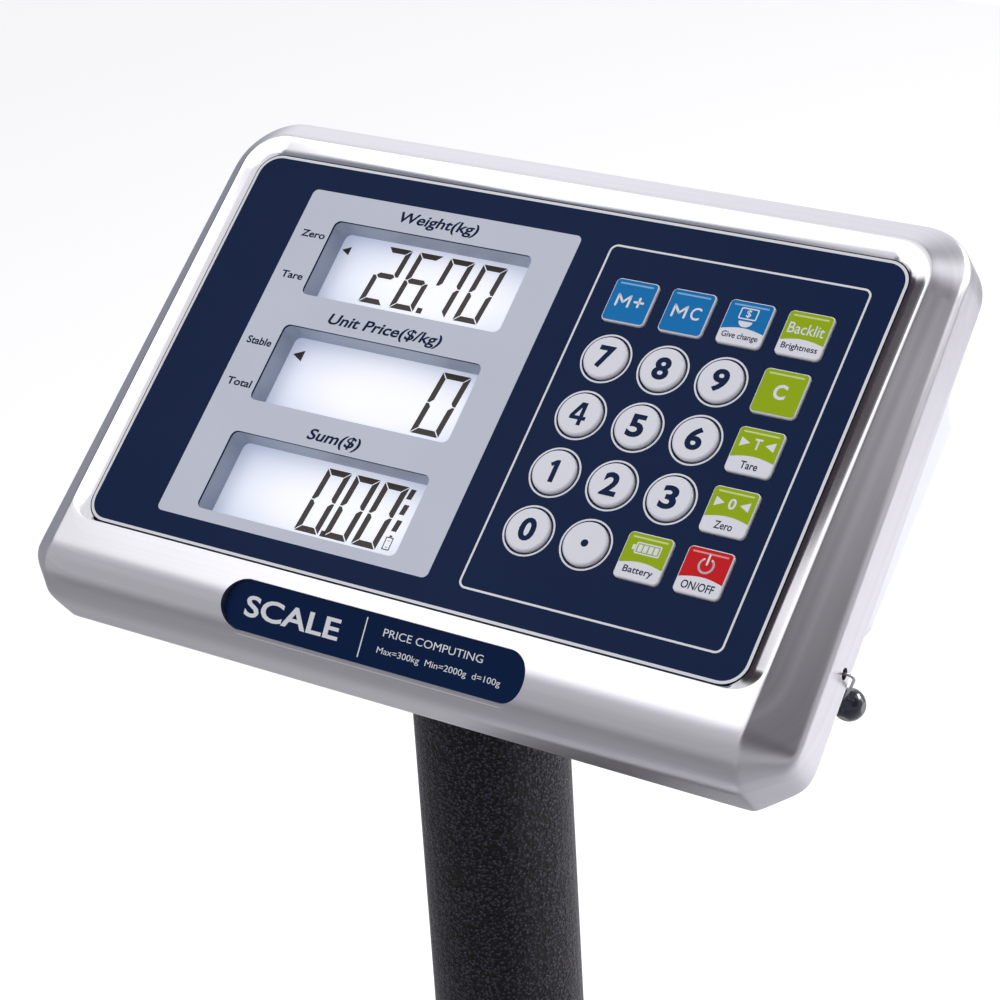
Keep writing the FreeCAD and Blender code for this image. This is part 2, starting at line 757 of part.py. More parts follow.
baseFrontY = trayFrontY + 18.0
baseRearY = trayRearY - 1.0
frameFrontY = trayFrontY + 30.0
frameRearY = trayRearY - 30.0
cellFixedY = trayCentreY + cellBoltOffset
cellFreeY = trayCentreY - cellBoltOffset
cellZ = bracketZ + 6.0
frameZ = cellZ + cellHeight + 4.0
footXY = [(side * baseRailX, y) for side in (-1.0, 1.0)
          for y in (baseFrontY + 35.0, baseRearY - 75.0)]


def baseSideRails():
    rails = []
    for side in (-1.0, 1.0):
        rail = railAlongY(side * baseRailX, baseFrontY, baseRearY, railZ)
        for x, y in footXY:
            rail = rail.cut(Part.makeCylinder(6.0, 10.0, Vector(x, y, railZ - 2.0)))
        rails.append(rail)
    return Part.makeCompound(rails)


def cellBolts():
    # long screws down through the cell at one end, up into it at the other
    bolts = []
    for x in (-12.5, 12.5):
        for dy in (-9.0, 9.0):
            fixed = Vector(x, cellFixedY + dy, 0)
            low = Part.makeCylinder(4.0, 24.0, fixed + Vector(0, 0, cellZ - 10.0))
            head = hexBar(13.0, 5.3, fixed + Vector(0, 0, cellZ - 6.0 - railWall - 5.3))
            bolts.append(low.fuse(head))
            free = Vector(x, cellFreeY + dy, 0)
            high = Part.makeCylinder(4.0, 26.0, free + Vector(0, 0, frameZ - 20.0))
            cap = hexBar(13.0, 5.3, free + Vector(0, 0, frameZ + railWall))
            bolts.append(high.fuse(cap))
    return Part.makeCompound(bolts)


def cutBolts(shape):
    for x in (-12.5, 12.5):
        for dy in (-9.0, 9.0):
            shape = shape.cut(Part.makeCylinder(4.05, 24.1, Vector(x, cellFixedY + dy, cellZ - 10.0)))
            shape = shape.cut(Part.makeCylinder(4.05, 26.1, Vector(x, cellFreeY + dy, frameZ - 20.1)))
    return shape


def baseCrossRails():
    edge = baseRailX - railWidth / 2.0
    rails = []
    for y in (baseFrontY + railWidth / 2.0, cellFixedY, baseRearY - railWidth / 2.0 - 6.0):
        rails.append(cutBolts(railAlongX(y, -edge, edge, railZ)))
    return Part.makeCompound(rails)


def loadCell():
    # aluminium beam with two joined holes that make its thin bending sections
    y0 = trayCentreY - cellLength / 2.0
    beam = box(-cellWidth / 2.0, cellWidth / 2.0, y0, y0 + cellLength, cellZ, cellZ + cellHeight)
    middle = cellZ + cellHeight / 2.0
    for y in (trayCentreY - 15.0, trayCentreY + 15.0):
        beam = beam.cut(rod(12.5, Vector(-30.0, y, middle), Vector(30.0, y, middle)))
    slot = box(-30.0, 30.0, trayCentreY - 15.0, trayCentreY + 15.0, middle - 5.0, middle + 5.0)
    return cutBolts(beam.cut(slot)).removeSplitter()


def cellSpacers():
    low = box(-20.0, 20.0, cellFixedY - 15.0, cellFixedY + 15.0, bracketZ, cellZ)
    high = box(-20.0, 20.0, cellFreeY - 15.0, cellFreeY + 15.0, cellZ + cellHeight, frameZ)
    return Part.makeCompound([cutBolts(low), cutBolts(high)])


def platformFrame():
    rails = []
    for side in (-1.0, 1.0):
        rails.append(railAlongY(side * frameRailX, frameFrontY, frameRearY, frameZ))
    edge = frameRailX - railWidth / 2.0
    for y in (frameFrontY + railWidth / 2.0, cellFreeY, frameRearY - railWidth / 2.0):
        rails.append(cutBolts(railAlongX(y, -edge, edge, frameZ)))
    return Part.makeCompound(rails)


cornerXY = [(side * (frameRailX + 6.0), y) for side in (-1.0, 1.0)
            for y in (frameFrontY + 45.0, frameRearY - 45.0)]


def overloadStops():
    stops = []
    for x, y in cornerXY:
        base = Vector(x, y, bracketZ)
        stem = Part.makeCylinder(4.0, frameZ - bracketZ - 2.5, base)
        nut = hexBar(13.0, 6.5, base)
        pad = Part.makeCylinder(7.0, 3.0, base + Vector(0, 0, frameZ - bracketZ - 5.5))
        stops.append(stem.fuse([nut, pad]))
    return Part.makeCompound(stops)


def trayCushions():
    pads = []
    for x, y in cornerXY:
        height = trayTopZ - trayThickness - frameZ - railHeight
        pads.append(Part.makeCylinder(11.0, height, Vector(x, y, frameZ + railHeight)))
    return Part.makeCompound(pads)


def footNuts():
    # a nut welded inside each rail and a lock nut below it
    nuts = []
    for x, y in footXY:
        for z, height in ((railZ + railWall, 8.0), (railZ - 5.2, 5.0)):
            nut = hexBar(17.0, height, Vector(x, y, z))
            bore = Part.makeCylinder(footStudRadius + runningGap, 12.0, Vector(x, y, z - 1.0))
            nuts.append(nut.cut(bore))
    return Part.makeCompound(nuts)


def levellingFoot(x, y):
    base = Vector(x, y, 0)
    pad = Part.makeCone(footRadius, 12.0, 10.0, base + Vector(0, 0, 3.0))
    sole = Part.makeCylinder(footRadius, 3.0, base)
    stud = Part.makeCylinder(footStudRadius, 32.0, base + Vector(0, 0, 13.0))
    return sole.fuse([pad, stud]).removeSplitter()


def platformTray():
    # folded pan over the frame, with rounded corners and folds
    half = trayWidth / 2.0
    outer = roundedPlate(-half, half, trayFrontY, trayRearY, 6.0, trayTopZ - traySkirt, trayTopZ)
    rim = [edge for edge in outer.Edges if edge.BoundBox.ZMin > trayTopZ - 0.01]
    outer = outer.makeFillet(3.0, rim)
    inner = roundedPlate(-half + trayThickness, half - trayThickness, trayFrontY + trayThickness,
                         trayRearY - trayThickness, 6.0 - trayThickness,
                         trayTopZ - traySkirt - 1.0, trayTopZ - trayThickness)
    rim = [edge for edge in inner.Edges if edge.BoundBox.ZMin > trayTopZ - trayThickness - 0.01]
    return outer.cut(inner.makeFillet(3.0 - trayThickness, rim))


save("base_side_rails", baseSideRails())
save("base_cross_rails", baseCrossRails())
save("load_cell", loadCell())
save("cell_spacers", cellSpacers())
save("cell_bolts", cellBolts())
save("platform_frame", platformFrame())
save("overload_stops", overloadStops())
save("tray_cushions", trayCushions())
save("foot_nuts", footNuts())
save("platform_tray", platformTray())
footNames = ["left_front", "left_rear", "right_front", "right_rear"]
for footName, (footX, footY) in zip(footNames, footXY):
    save("foot_" + footName, levellingFoot(footX, footY))
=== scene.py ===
import json
import math

import bmesh
import bpy
import numpy as np
from mathutils import Matrix, Vector


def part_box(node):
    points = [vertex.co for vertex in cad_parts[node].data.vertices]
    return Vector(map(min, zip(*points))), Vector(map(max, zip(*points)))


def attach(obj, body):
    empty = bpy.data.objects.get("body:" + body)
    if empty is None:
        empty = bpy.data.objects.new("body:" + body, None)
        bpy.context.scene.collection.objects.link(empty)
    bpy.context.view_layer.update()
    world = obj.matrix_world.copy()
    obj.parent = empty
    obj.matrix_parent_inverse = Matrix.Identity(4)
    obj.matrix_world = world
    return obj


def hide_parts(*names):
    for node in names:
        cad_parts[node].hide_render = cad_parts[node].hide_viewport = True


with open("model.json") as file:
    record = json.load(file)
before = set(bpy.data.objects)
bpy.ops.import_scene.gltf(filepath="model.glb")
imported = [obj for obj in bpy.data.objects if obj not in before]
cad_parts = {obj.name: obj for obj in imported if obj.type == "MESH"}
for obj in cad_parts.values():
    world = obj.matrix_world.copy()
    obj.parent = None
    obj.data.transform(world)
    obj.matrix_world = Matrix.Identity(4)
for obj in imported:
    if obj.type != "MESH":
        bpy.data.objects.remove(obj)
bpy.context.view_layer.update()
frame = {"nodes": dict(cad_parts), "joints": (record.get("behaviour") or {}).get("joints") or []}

mm = 0.001
nodes = frame["nodes"]
joints = {joint["name"]: joint for joint in frame["joints"]}

# the head's own frame: x right, y up the panel, z out of it, in millimetres
panel = dict(top=28.3, bottom=-105.8, halfWidth=114.5, corner=7.5)
pressAxis = Vector(joints["key_five_press"]["axis"])
headZ = -pressAxis.normalized()
headX = Vector((1, 0, 0))
headY = headZ.cross(headX)
filmLow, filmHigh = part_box("keypad_overlay")
headOrigin = Vector((0, filmLow.y - panel["bottom"] * mm * headY.y,
                     filmHigh.z - panel["top"] * mm * headY.z))
headMatrix = Matrix.Translation(headOrigin) @ Matrix((headX, headY, headZ)).transposed().to_4x4()
headMatrix = headMatrix @ Matrix.Scale(mm, 4)
worldScale = Matrix.Scale(mm, 4)
print("frame loaded, head at", [round(v, 4) for v in headOrigin])

# small helpers for meshes; a shape is a list of corners and a list of faces
inkLayer = dict(under=0.01, letter=0.01, plate=0.02)


def addMesh(name, shape, matrix, material, body, smooth=False):
    mesh = bpy.data.meshes.new(name)
    mesh.from_pydata([matrix @ Vector(v) for v in shape[0]], [], shape[1])
    mesh.validate()
    piece = bpy.data.objects.new(name, mesh)
    bpy.context.scene.collection.objects.link(piece)
    mesh.materials.append(material)
    cleanNormals(mesh)
    for face in mesh.polygons:
        face.use_smooth = smooth
    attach(piece, body)
    return piece


def cleanNormals(mesh):
    work = bmesh.new()
    work.from_mesh(mesh)
    bmesh.ops.recalc_face_normals(work, faces=work.faces)
    work.to_mesh(mesh)
    work.free()


def roundedOutline(x0, x1, y0, y1, radius, steps=8):
    corners = [(x1 - radius, y1 - radius, 0), (x0 + radius, y1 - radius, 90),
               (x0 + radius, y0 + radius, 180), (x1 - radius, y0 + radius, 270)]
    points = []
    for cx, cy, start in corners:
        for i in range(steps + 1):
            turn = math.radians(start + 90.0 * i / steps)
            points.append((cx + radius * math.cos(turn), cy + radius * math.sin(turn)))
    return points


def circleOutline(cx, cy, radius, steps=64):
    return [(cx + radius * math.cos(2 * math.pi * i / steps),
             cy + radius * math.sin(2 * math.pi * i / steps)) for i in range(steps)]


def rectangle(x0, x1, y0, y1):
    return [(x0, y0), (x1, y0), (x1, y1), (x0, y1)]


def prism(outline, z0, z1):
    # verts and faces of a closed plate with that outline
    count = len(outline)
    verts = [(x, y, z0) for x, y in outline] + [(x, y, z1) for x, y in outline]
    faces = [tuple(range(count))[::-1], tuple(range(count, 2 * count))]
    for i in range(count):
        j = (i + 1) % count
        faces.append((i, j, count + j, count + i))
    return verts, faces


def ringFaces(rings, count, closed=False):
    # quads between rings that have the same number of corners
    faces = []
    for k in range(rings if closed else rings - 1):
        a = k * count
        b = (k + 1) % rings * count
        for i in range(count):
            j = (i + 1) % count
            faces.append((a + i, a + j, b + j, b + i))
    return faces


def ringPrism(outer, inner, z0, z1):
    # a closed band between two outlines of the same number of points
    verts = []
    for outline, z in ((outer, z0), (inner, z0), (inner, z1), (outer, z1)):
        verts += [(x, y, z) for x, y in outline]
    return verts, ringFaces(4, len(outer), True)


def merge(parts):
    verts = []
    faces = []
    for partVerts, partFaces in parts:
        base = len(verts)
        verts += partVerts
        faces += [tuple(base + i for i in face) for face in partFaces]
    return verts, faces


def thicken(work, rise):
    up = bmesh.ops.extrude_face_region(work, geom=work.faces[:])
    top = [item for item in up["geom"] if isinstance(item, bmesh.types.BMVert)]
    bmesh.ops.translate(work, vec=(0, 0, rise), verts=top)


def shapeOf(work):
    work.verts.index_update()
    verts = [tuple(v.co) for v in work.verts]
    faces = [tuple(v.index for v in face.verts) for face in work.faces]
    work.free()
    return verts, faces


def lettering(text, cx, cy, width, height, z, bold=0.0, slant=0.0):
    # built-in font, fitted to a width and a height, centred on (cx, cy)
    curve = bpy.data.curves.new("lettering", "FONT")
    curve.body = text
    curve.size = 1.0
    curve.offset = bold
    curve.resolution_u = 4
    holder = bpy.data.objects.new("lettering", curve)
    bpy.context.scene.collection.objects.link(holder)
    bpy.context.view_layer.update()
    mesh = bpy.data.meshes.new_from_object(holder)
    bpy.data.objects.remove(holder)
    bpy.data.curves.remove(curve)
    work = bmesh.new()
    work.from_mesh(mesh)
    bpy.data.meshes.remove(mesh)
    bmesh.ops.remove_doubles(work, verts=work.verts, dist=0.0005)
    thicken(work, 1.0)
    xs = [v.co.x for v in work.verts]
    ys = [v.co.y for v in work.verts]
    midX = (min(xs) + max(xs)) / 2
    midY = (min(ys) + max(ys)) / 2
    scaleX = width / (max(xs) - min(xs))
    scaleY = height / (max(ys) - min(ys))
    depth = inkLayer["under"] + inkLayer["letter"]
    for v in work.verts:
        y = (v.co.y - midY) * scaleY
        v.co.x = cx + (v.co.x - midX) * scaleX + y * slant
        v.co.y = cy + y
        v.co.z = z - inkLayer["under"] + depth * v.co.z
    return shapeOf(work)


# node groups that several materials share


def newGroup(name, inputs, outputs):
    group = bpy.data.node_groups.new(name, "ShaderNodeTree")
    for label, kind, value in inputs:
        socket = group.interface.new_socket(label, in_out="INPUT", socket_type=kind)
        socket.default_value = value
    for label, kind in outputs:
        group.interface.new_socket(label, in_out="OUTPUT", socket_type=kind)
    start = group.nodes.new("NodeGroupInput")
    end = group.nodes.new("NodeGroupOutput")
    return group, start, end


def feed(tree, socket, value):
    # links another node's output, or sets the socket's own value
    if isinstance(value, bpy.types.NodeSocket):
        tree.links.new(value, socket)
    else:
        socket.default_value = value


def putOut(group, end, **results):
    for label, value in results.items():
        group.links.new(value, end.inputs[label])


def mathNode(tree, operation, first, second, clamp=False):
    node = tree.nodes.new("ShaderNodeMath")
    node.operation = operation
    node.use_clamp = clamp
    feed(tree, node.inputs[0], first)
    feed(tree, node.inputs[1], second)
    return node.outputs[0]


def vectorNode(tree, operation, *values):
    node = tree.nodes.new("ShaderNodeVectorMath")
    node.operation = operation
    for socket, value in zip(node.inputs, values):
        feed(tree, socket, value)
    return node.outputs["Value" if operation in ("DOT_PRODUCT", "LENGTH") else "Vector"]


def noiseNode(tree, vector, scale, detail=3.0, roughness=0.55):
    node = tree.nodes.new("ShaderNodeTexNoise")
    for label, value in (("Vector", vector), ("Scale", scale), ("Detail", detail), ("Roughness", roughness)):
        feed(tree, node.inputs[label], value)
    return node.outputs["Fac"]


def rangeNode(tree, value, low, high, toLow=0.0, toHigh=1.0, smooth=False):
    node = tree.nodes.new("ShaderNodeMapRange")
    if smooth:
        node.interpolation_type = "SMOOTHSTEP"
    for label, number in (("Value", value), ("From Min", low), ("From Max", high), ("To Min", toLow),
                          ("To Max", toHigh)):
        feed(tree, node.inputs[label], number)
    return node.outputs["Result"]


def objectPlace(tree):
    return tree.nodes.new("ShaderNodeTexCoord").outputs["Object"]


def brushGroup():
    # fine scratches and broader polishing bands, both stretched along one direction
    group, start, end = newGroup(
        "brushedGrain",
        [("Vector", "NodeSocketVector", (0.0, 0.0, 0.0)), ("Stretch", "NodeSocketVector", (8.0, 900.0, 900.0)),
         ("Scratch", "NodeSocketFloat", 1.0)],
        [("Streaks", "NodeSocketFloat"), ("Bands", "NodeSocketFloat"), ("Clouds", "NodeSocketFloat")])
    scaled = vectorNode(group, "MULTIPLY", start.outputs["Vector"], start.outputs["Stretch"])
    fine = noiseNode(group, scaled, 1.0, 4.0, 0.7)
    middle = noiseNode(group, scaled, 0.3, 2.0, 0.6)
    both = mathNode(group, "MULTIPLY", mathNode(group, "ADD", fine, middle), 0.5)
    centred = mathNode(group, "MULTIPLY", mathNode(group, "SUBTRACT", both, 0.5), start.outputs["Scratch"])
    bands = noiseNode(group, scaled, 0.06, 3.0, 0.6)
    putOut(group, end, Streaks=mathNode(group, "ADD", centred, 0.5), Bands=rangeNode(group, bands, 0.3, 0.7),
           Clouds=noiseNode(group, start.outputs["Vector"], 14.0))
    return group


def hammerGroup():
    # hammered paint: small raised pebbles; the pebble tops are painted paler as glints and the channels between
    # them darker as painted shade
    group, start, end = newGroup(
        "hammeredPaint",
        [("Pebble Scale", "NodeSocketFloat", 960.0), ("Warp", "NodeSocketFloat", 0.0007)],
        [("Height", "NodeSocketFloat"), ("Specks", "NodeSocketFloat"), ("Tone", "NodeSocketFloat")])
    place = objectPlace(group)
    wobble = noiseNode(group, place, 900.0, 2.0, 0.5).node.outputs["Color"]
    cells = group.nodes.new("ShaderNodeTexVoronoi")
    feed(group, cells.inputs["Vector"], vectorNode(group, "MULTIPLY_ADD", wobble, start.outputs["Warp"], place))
    feed(group, cells.inputs["Scale"], start.outputs["Pebble Scale"])
    pebbles = mathNode(group, "SUBTRACT", 1.0, cells.outputs["Distance"])
    fine = noiseNode(group, place, 1900.0, 3.0, 0.6)
    height = mathNode(group, "ADD", mathNode(group, "MULTIPLY", pebbles, 0.7),
                      mathNode(group, "MULTIPLY", fine, 0.6))
    putOut(group, end, Height=height, Specks=rangeNode(group, height, 0.62, 0.98),
           Tone=noiseNode(group, place, 45.0))
    return group


def mouldGroup():
    # fine spark-eroded grain of moulded plastic, with slow variation of sheen
    group, start, end = newGroup(
        "mouldedGrain",
        [("Grain Scale", "NodeSocketFloat", 1800.0)],
        [("Height", "NodeSocketFloat"), ("Variation", "NodeSocketFloat")])
    place = objectPlace(group)
    putOut(group, end, Height=noiseNode(group, place, start.outputs["Grain Scale"], 3.0, 0.6),
           Variation=noiseNode(group, place, 22.0))
    return group


def handlingGroup():
    # faint smudges and dust where hands and goods pass
    group, start, end = newGroup(
        "handling",
        [("Amount", "NodeSocketFloat", 0.05), ("Base", "NodeSocketFloat", 0.3)],
        [("Roughness", "NodeSocketFloat")])
    smudge = mathNode(group, "SUBTRACT", noiseNode(group, objectPlace(group), 30.0, 5.0, 0.65), 0.5)
    scaled = mathNode(group, "MULTIPLY", smudge, start.outputs["Amount"])
    putOut(group, end, Roughness=mathNode(group, "ADD", scaled, start.outputs["Base"], True))
    return group


def edgeShadeGroup():
    # grows from the middle of a lit face towards its edges; used as painted shade on the face's edges
    group, start, end = newGroup(
        "glowEdgeShade",
        [("Middle", "NodeSocketVector", (0.0, 0.0, 0.0)), ("Reach", "NodeSocketVector", (0.05, 0.05, 0.05))],
        [("Edge", "NodeSocketFloat")])
    offset = vectorNode(group, "SUBTRACT", objectPlace(group), start.outputs["Middle"])
    length = vectorNode(group, "LENGTH", vectorNode(group, "DIVIDE", offset, start.outputs["Reach"]))
    putOut(group, end, Edge=rangeNode(group, length, 0.3, 1.4, smooth=True))
    return group


groups = dict(brush=brushGroup(), hammer=hammerGroup(), mould=mouldGroup(), handling=handlingGroup(),
              edgeShade=edgeShadeGroup())
print("node groups ready")


def newMaterial(name, **sockets):
    material = bpy.data.materials.new(name)
    material.use_nodes = True
    tree = material.node_tree
    shader = tree.nodes["Principled BSDF"]
    for label, value in sockets.items():
        shader.inputs[label.replace("_", " ")].default_value = value
    return material, tree, shader


def useGroup(tree, key, **values):
    node = tree.nodes.new("ShaderNodeGroup")
    node.node_tree = groups[key]
    for label, value in values.items():
        node.inputs[label.replace("_", " ")].default_value = value
    return node


def bump(tree, shader, height, strength, distance):
    node = tree.nodes.new("ShaderNodeBump")
    node.inputs["Strength"].default_value = strength
    node.inputs["Distance"].default_value = distance
    tree.links.new(height, node.inputs["Height"])
    tree.links.new(node.outputs["Normal"], shader.inputs["Normal"])


def mixColours(tree, factor, first, second):
    node = tree.nodes.new("ShaderNodeMix")
    node.data_type = "RGBA"
    tree.links.new(factor, node.inputs["Factor"])
    ends = [socket for socket in node.inputs if socket.type == "RGBA"]
    for socket, colour in zip(ends, (first, second)):
        feed(tree, socket, colour if isinstance(colour, bpy.types.NodeSocket) else (*colour, 1.0))
    return [socket for socket in node.outputs if socket.type == "RGBA"][0]


def brushedMetal(name, tone, roughness, stretch, scratch=1.0, depth=0.00002, space="Object", spread=0.12):
    material, tree, shader = newMaterial(name, Metallic=1.0, Anisotropic=0.4)
    grain = useGroup(tree, "brush", Stretch=stretch, Scratch=scratch)
    coords = tree.nodes.new("ShaderNodeTexCoord")
    tree.links.new(coords.outputs[space], grain.inputs["Vector"])
    mixed = mathNode(tree, "ADD", mathNode(tree, "MULTIPLY", grain.outputs["Streaks"], 0.6),
                     mathNode(tree, "MULTIPLY", grain.outputs["Bands"], 0.4))
    colour = mixColours(tree, mixed, [v * 0.72 for v in tone], [min(v * 1.14, 1.0) for v in tone])
    tree.links.new(colour, shader.inputs["Base Color"])
    worn = mathNode(tree, "ADD", mathNode(tree, "MULTIPLY", mixed, spread),
                    mathNode(tree, "MULTIPLY", grain.outputs["Clouds"], 0.06))
    tree.links.new(mathNode(tree, "ADD", worn, roughness - spread / 2 - 0.03), shader.inputs["Roughness"])
    bump(tree, shader, grain.outputs["Streaks"], 0.3, depth)
    return material


def moulded(name, tone, roughness, grain=1800.0, strength=0.25, depth=0.00004, **sockets):
    material, tree, shader = newMaterial(name, **sockets)
    noise = useGroup(tree, "mould", Grain_Scale=grain)
    darker = [v * 0.9 for v in tone]
    tree.links.new(mixColours(tree, noise.outputs["Variation"], darker, tone), shader.inputs["Base Color"])
    smudge = useGroup(tree, "handling", Amount=0.12, Base=roughness)
    tree.links.new(smudge.outputs["Roughness"], shader.inputs["Roughness"])
    bump(tree, shader, noise.outputs["Height"], strength, depth)
    return material


def hammered(name, dark, light, roughness):
    material, tree, shader = newMaterial(name, Specular_IOR_Level=0.15)
    paint = useGroup(tree, "hammer")
    # painted glints on the pebble tops and painted shade in the channels between them, mixed from the two paint
    # colours
    tree.links.new(mixColours(tree, paint.outputs["Specks"], dark, light), shader.inputs["Base Color"])
    sheen = rangeNode(tree, paint.outputs["Tone"], 0.3, 0.7, roughness - 0.04, roughness + 0.06)
    tree.links.new(sheen, shader.inputs["Roughness"])
    bump(tree, shader, paint.outputs["Height"], 1.0, 0.0017)
    return material


def displayGlow(name, centre, edge, strength, middle, reach):
    # a lit display: brighter in the middle, with painted shade falling off towards its edges
    material, tree, shader = newMaterial(name, Roughness=0.45, Specular_IOR_Level=0.1,
                                         Emission_Strength=strength)
    glow = useGroup(tree, "edgeShade", Middle=middle, Reach=reach)
    colour = mixColours(tree, glow.outputs["Edge"], centre, edge)
    tree.links.new(colour, shader.inputs["Base Color"])
    tree.links.new(colour, shader.inputs["Emission Color"])
    return material


# the well colour is the print's silver darkened to the tone the display well walls take in shade: painted shade
palette = dict(
    steel=(0.665, 0.655, 0.69), navy=(0.0035, 0.0165, 0.068), silver=(0.68, 0.715, 0.82),
    white=(0.86, 0.88, 0.92), ink=(0.035, 0.022, 0.015), disc=(0.86, 0.87, 0.94),
    blue=(0.001, 0.2, 0.54), green=(0.36, 0.52, 0.002), red=(0.70, 0.008, 0.014),
    cover=(0.74, 0.755, 0.80), paint=(0.105, 0.092, 0.138), paintDeep=(0.0012, 0.0012, 0.002),
    shadedWell=(0.42, 0.47, 0.57))

look = dict(
    stainless=brushedMetal("brushedStainless", palette["steel"], 0.33, (9.0, 2600.0, 1.0), 0.8, 0.00001, "UV"),
    polished=brushedMetal("polishedStainless", palette["steel"], 0.1, (9.0, 1200.0, 1.0), 0.3, 0.000002, "UV",
                          0.04),
    tray=brushedMetal("brushedTray", palette["steel"], 0.42, (5.0, 1500.0, 1.0), 1.0, 0.00002, "UV"),
    zinc=brushedMetal("zincPlated", (0.56, 0.57, 0.6), 0.32, (200.0, 200.0, 200.0), 0.6),
    aluminium=brushedMetal("machinedAluminium", (0.78, 0.79, 0.81), 0.28, (900.0, 40.0, 900.0), 1.0),
    navy=moulded("navyFilm", palette["navy"], 0.3, 2600.0, 0.08, 0.00002, Specular_IOR_Level=0.05),
    silver=moulded("silverPrint", palette["silver"], 0.42, 2600.0, 0.12, 0.00002, Specular_IOR_Level=0.2),
    white=moulded("whitePrint", palette["white"], 0.4, 2600.0, 0.05, 0.00001),
    disc=moulded("lightKeyCap", palette["disc"], 0.36, 2200.0, 0.12, 0.00002),
    blue=moulded("bluePrint", palette["blue"], 0.24, 2600.0, 0.05, 0.00001, Specular_IOR_Level=0.06),
    green=moulded("greenPrint", palette["green"], 0.24, 2600.0, 0.05, 0.00001, Specular_IOR_Level=0.06),
    red=moulded("redPrint", palette["red"], 0.24, 2600.0, 0.05, 0.00001, Specular_IOR_Level=0.06),
    blueShine=moulded("blueHighlight", (0.16, 0.45, 0.78), 0.3),
    greenShine=moulded("greenHighlight", (0.66, 0.78, 0.25), 0.3),
    redShine=moulded("redHighlight", (0.85, 0.25, 0.25), 0.3),
    ink=moulded("displayInk", palette["ink"], 0.5),
    # display well walls: the print's silver darkened as painted shade
    shadedWell=moulded("wellPaintedShade", palette["shadedWell"], 0.45, 1600.0, 0.1, 0.00003),
    cover=moulded("whiteCover", palette["cover"], 0.36, 1500.0, 0.2, 0.00004),
    black=moulded("blackPlastic", (0.012, 0.012, 0.014), 0.42, 1300.0, 0.3, 0.00005),
    rubber=moulded("mouldedRubber", (0.014, 0.014, 0.014), 0.62, 900.0, 0.4, 0.0001),
    silicone=moulded("greySilicone", (0.3, 0.31, 0.33), 0.5, 900.0, 0.2, 0.00005),
    board=moulded("circuitBoard", (0.01, 0.11, 0.035), 0.32, 700.0, 0.15, 0.00003),
    battery=moulded("batteryCase", (0.03, 0.03, 0.034), 0.4, 1200.0, 0.3, 0.00005),
    window=moulded("tintedWindow", (0.62, 0.68, 0.74), 0.05, 300.0, 0.02, 0.00001, Transmission_Weight=1.0),
    lcdGlass=moulded("displayGlass", (0.3, 0.33, 0.36), 0.15, 2600.0, 0.02, 0.00001),
    bead=moulded("sealBody", (0.012, 0.016, 0.03), 0.2, 900.0, 0.1, 0.00003, Coat_Weight=0.4),
    paint=hammered("hammeredBlack", palette["paintDeep"], palette["paint"], 0.22))
print("materials ready")

cadLooks = dict(
    front_shell="stainless", keypad_overlay="navy", panel_carrier="shadedWell", key_mat="silicone",
    keypad_board="board", lcd_backlights="white", display_board="board", badge_plate="navy",
    back_cover="cover", cover_screws="zinc", main_board="board", battery="battery",
    charge_socket="black", rear_window="window", rear_lcd="lcdGlass", seal_wire="zinc",
    seal_bead="bead", head_socket="paint", socket_screws="zinc", column_tube="paint",
    column_cap="black", column_foot="paint", foot_bolts="zinc", column_bracket="paint",
    base_side_rails="paint", base_cross_rails="paint", load_cell="aluminium", cell_spacers="zinc",
    cell_bolts="zinc", platform_frame="paint", overload_stops="zinc", tray_cushions="rubber",
    foot_nuts="zinc", platform_tray="tray", lock_knob="black", lcd_panels="white")


for name, node in nodes.items():
    kind = cadLooks.get(name, "disc" if name.startswith("key_") else "rubber")
    for slot in node.material_slots:
        slot.material = look[kind]

# camera
view = dict(lens=102.5, sensor=36.0, stand=(438.5, -317.9, 653.7),
            ahead=(-0.51254, 0.30539, -0.80252), right=(0.83524, 0.39410, -0.38347))


def makeCamera():
    ahead = headMatrix.to_3x3().normalized() @ Vector(view["ahead"])
    right = headMatrix.to_3x3().normalized() @ Vector(view["right"])
    up = right.cross(ahead).normalized()
    turn = Matrix((right.normalized(), up, -ahead.normalized())).transposed()
    data = bpy.data.cameras.new("camera")
    data.lens = view["lens"]
    data.sensor_width = view["sensor"]
    camera = bpy.data.objects.new("camera", data)
    camera.matrix_world = Matrix.Translation(headMatrix @ Vector(view["stand"])) @ turn.to_4x4()
    bpy.context.scene.collection.objects.link(camera)
    bpy.context.scene.camera = camera


makeCamera()

# stainless shell of the head, one sheet swept round the panel
shell = dict(sheet=1.2, front=1.15, gap=0.3, crestHalf=120.7, crestTop=35.5, crestCorner=12.5,
             facet=39.5, crestSoft=0.3, wallSoft=1.5, wallTopHalf=127.9, wallBottomHalf=133.8,
             top=44.65, bottom=-130.5, corner=17.0, lip=15.2, backTop=-20.0, backBottom=-24.0,
             returnDepth=6.0, ring=6.1, ringBottom=0.7, rows=54, cornerSteps=44, straightSteps=10,
             sealHole=(-87.8, -18.6, 1.75), sealCut=(125.0, 140.0), crease=32)


def roundedDistance(a, b, radius):
    # distance outside two edges that meet in a rounded corner
    outside = np.hypot(np.maximum(a + radius, 0), np.maximum(b + radius, 0))
    return np.minimum(np.maximum(a + radius, b + radius), 0) + outside - radius


def softMax(a, b, softness):
    overlap = np.maximum(softness - np.abs(a - b), 0) / softness
    return np.maximum(a, b) + overlap * overlap * softness / 4


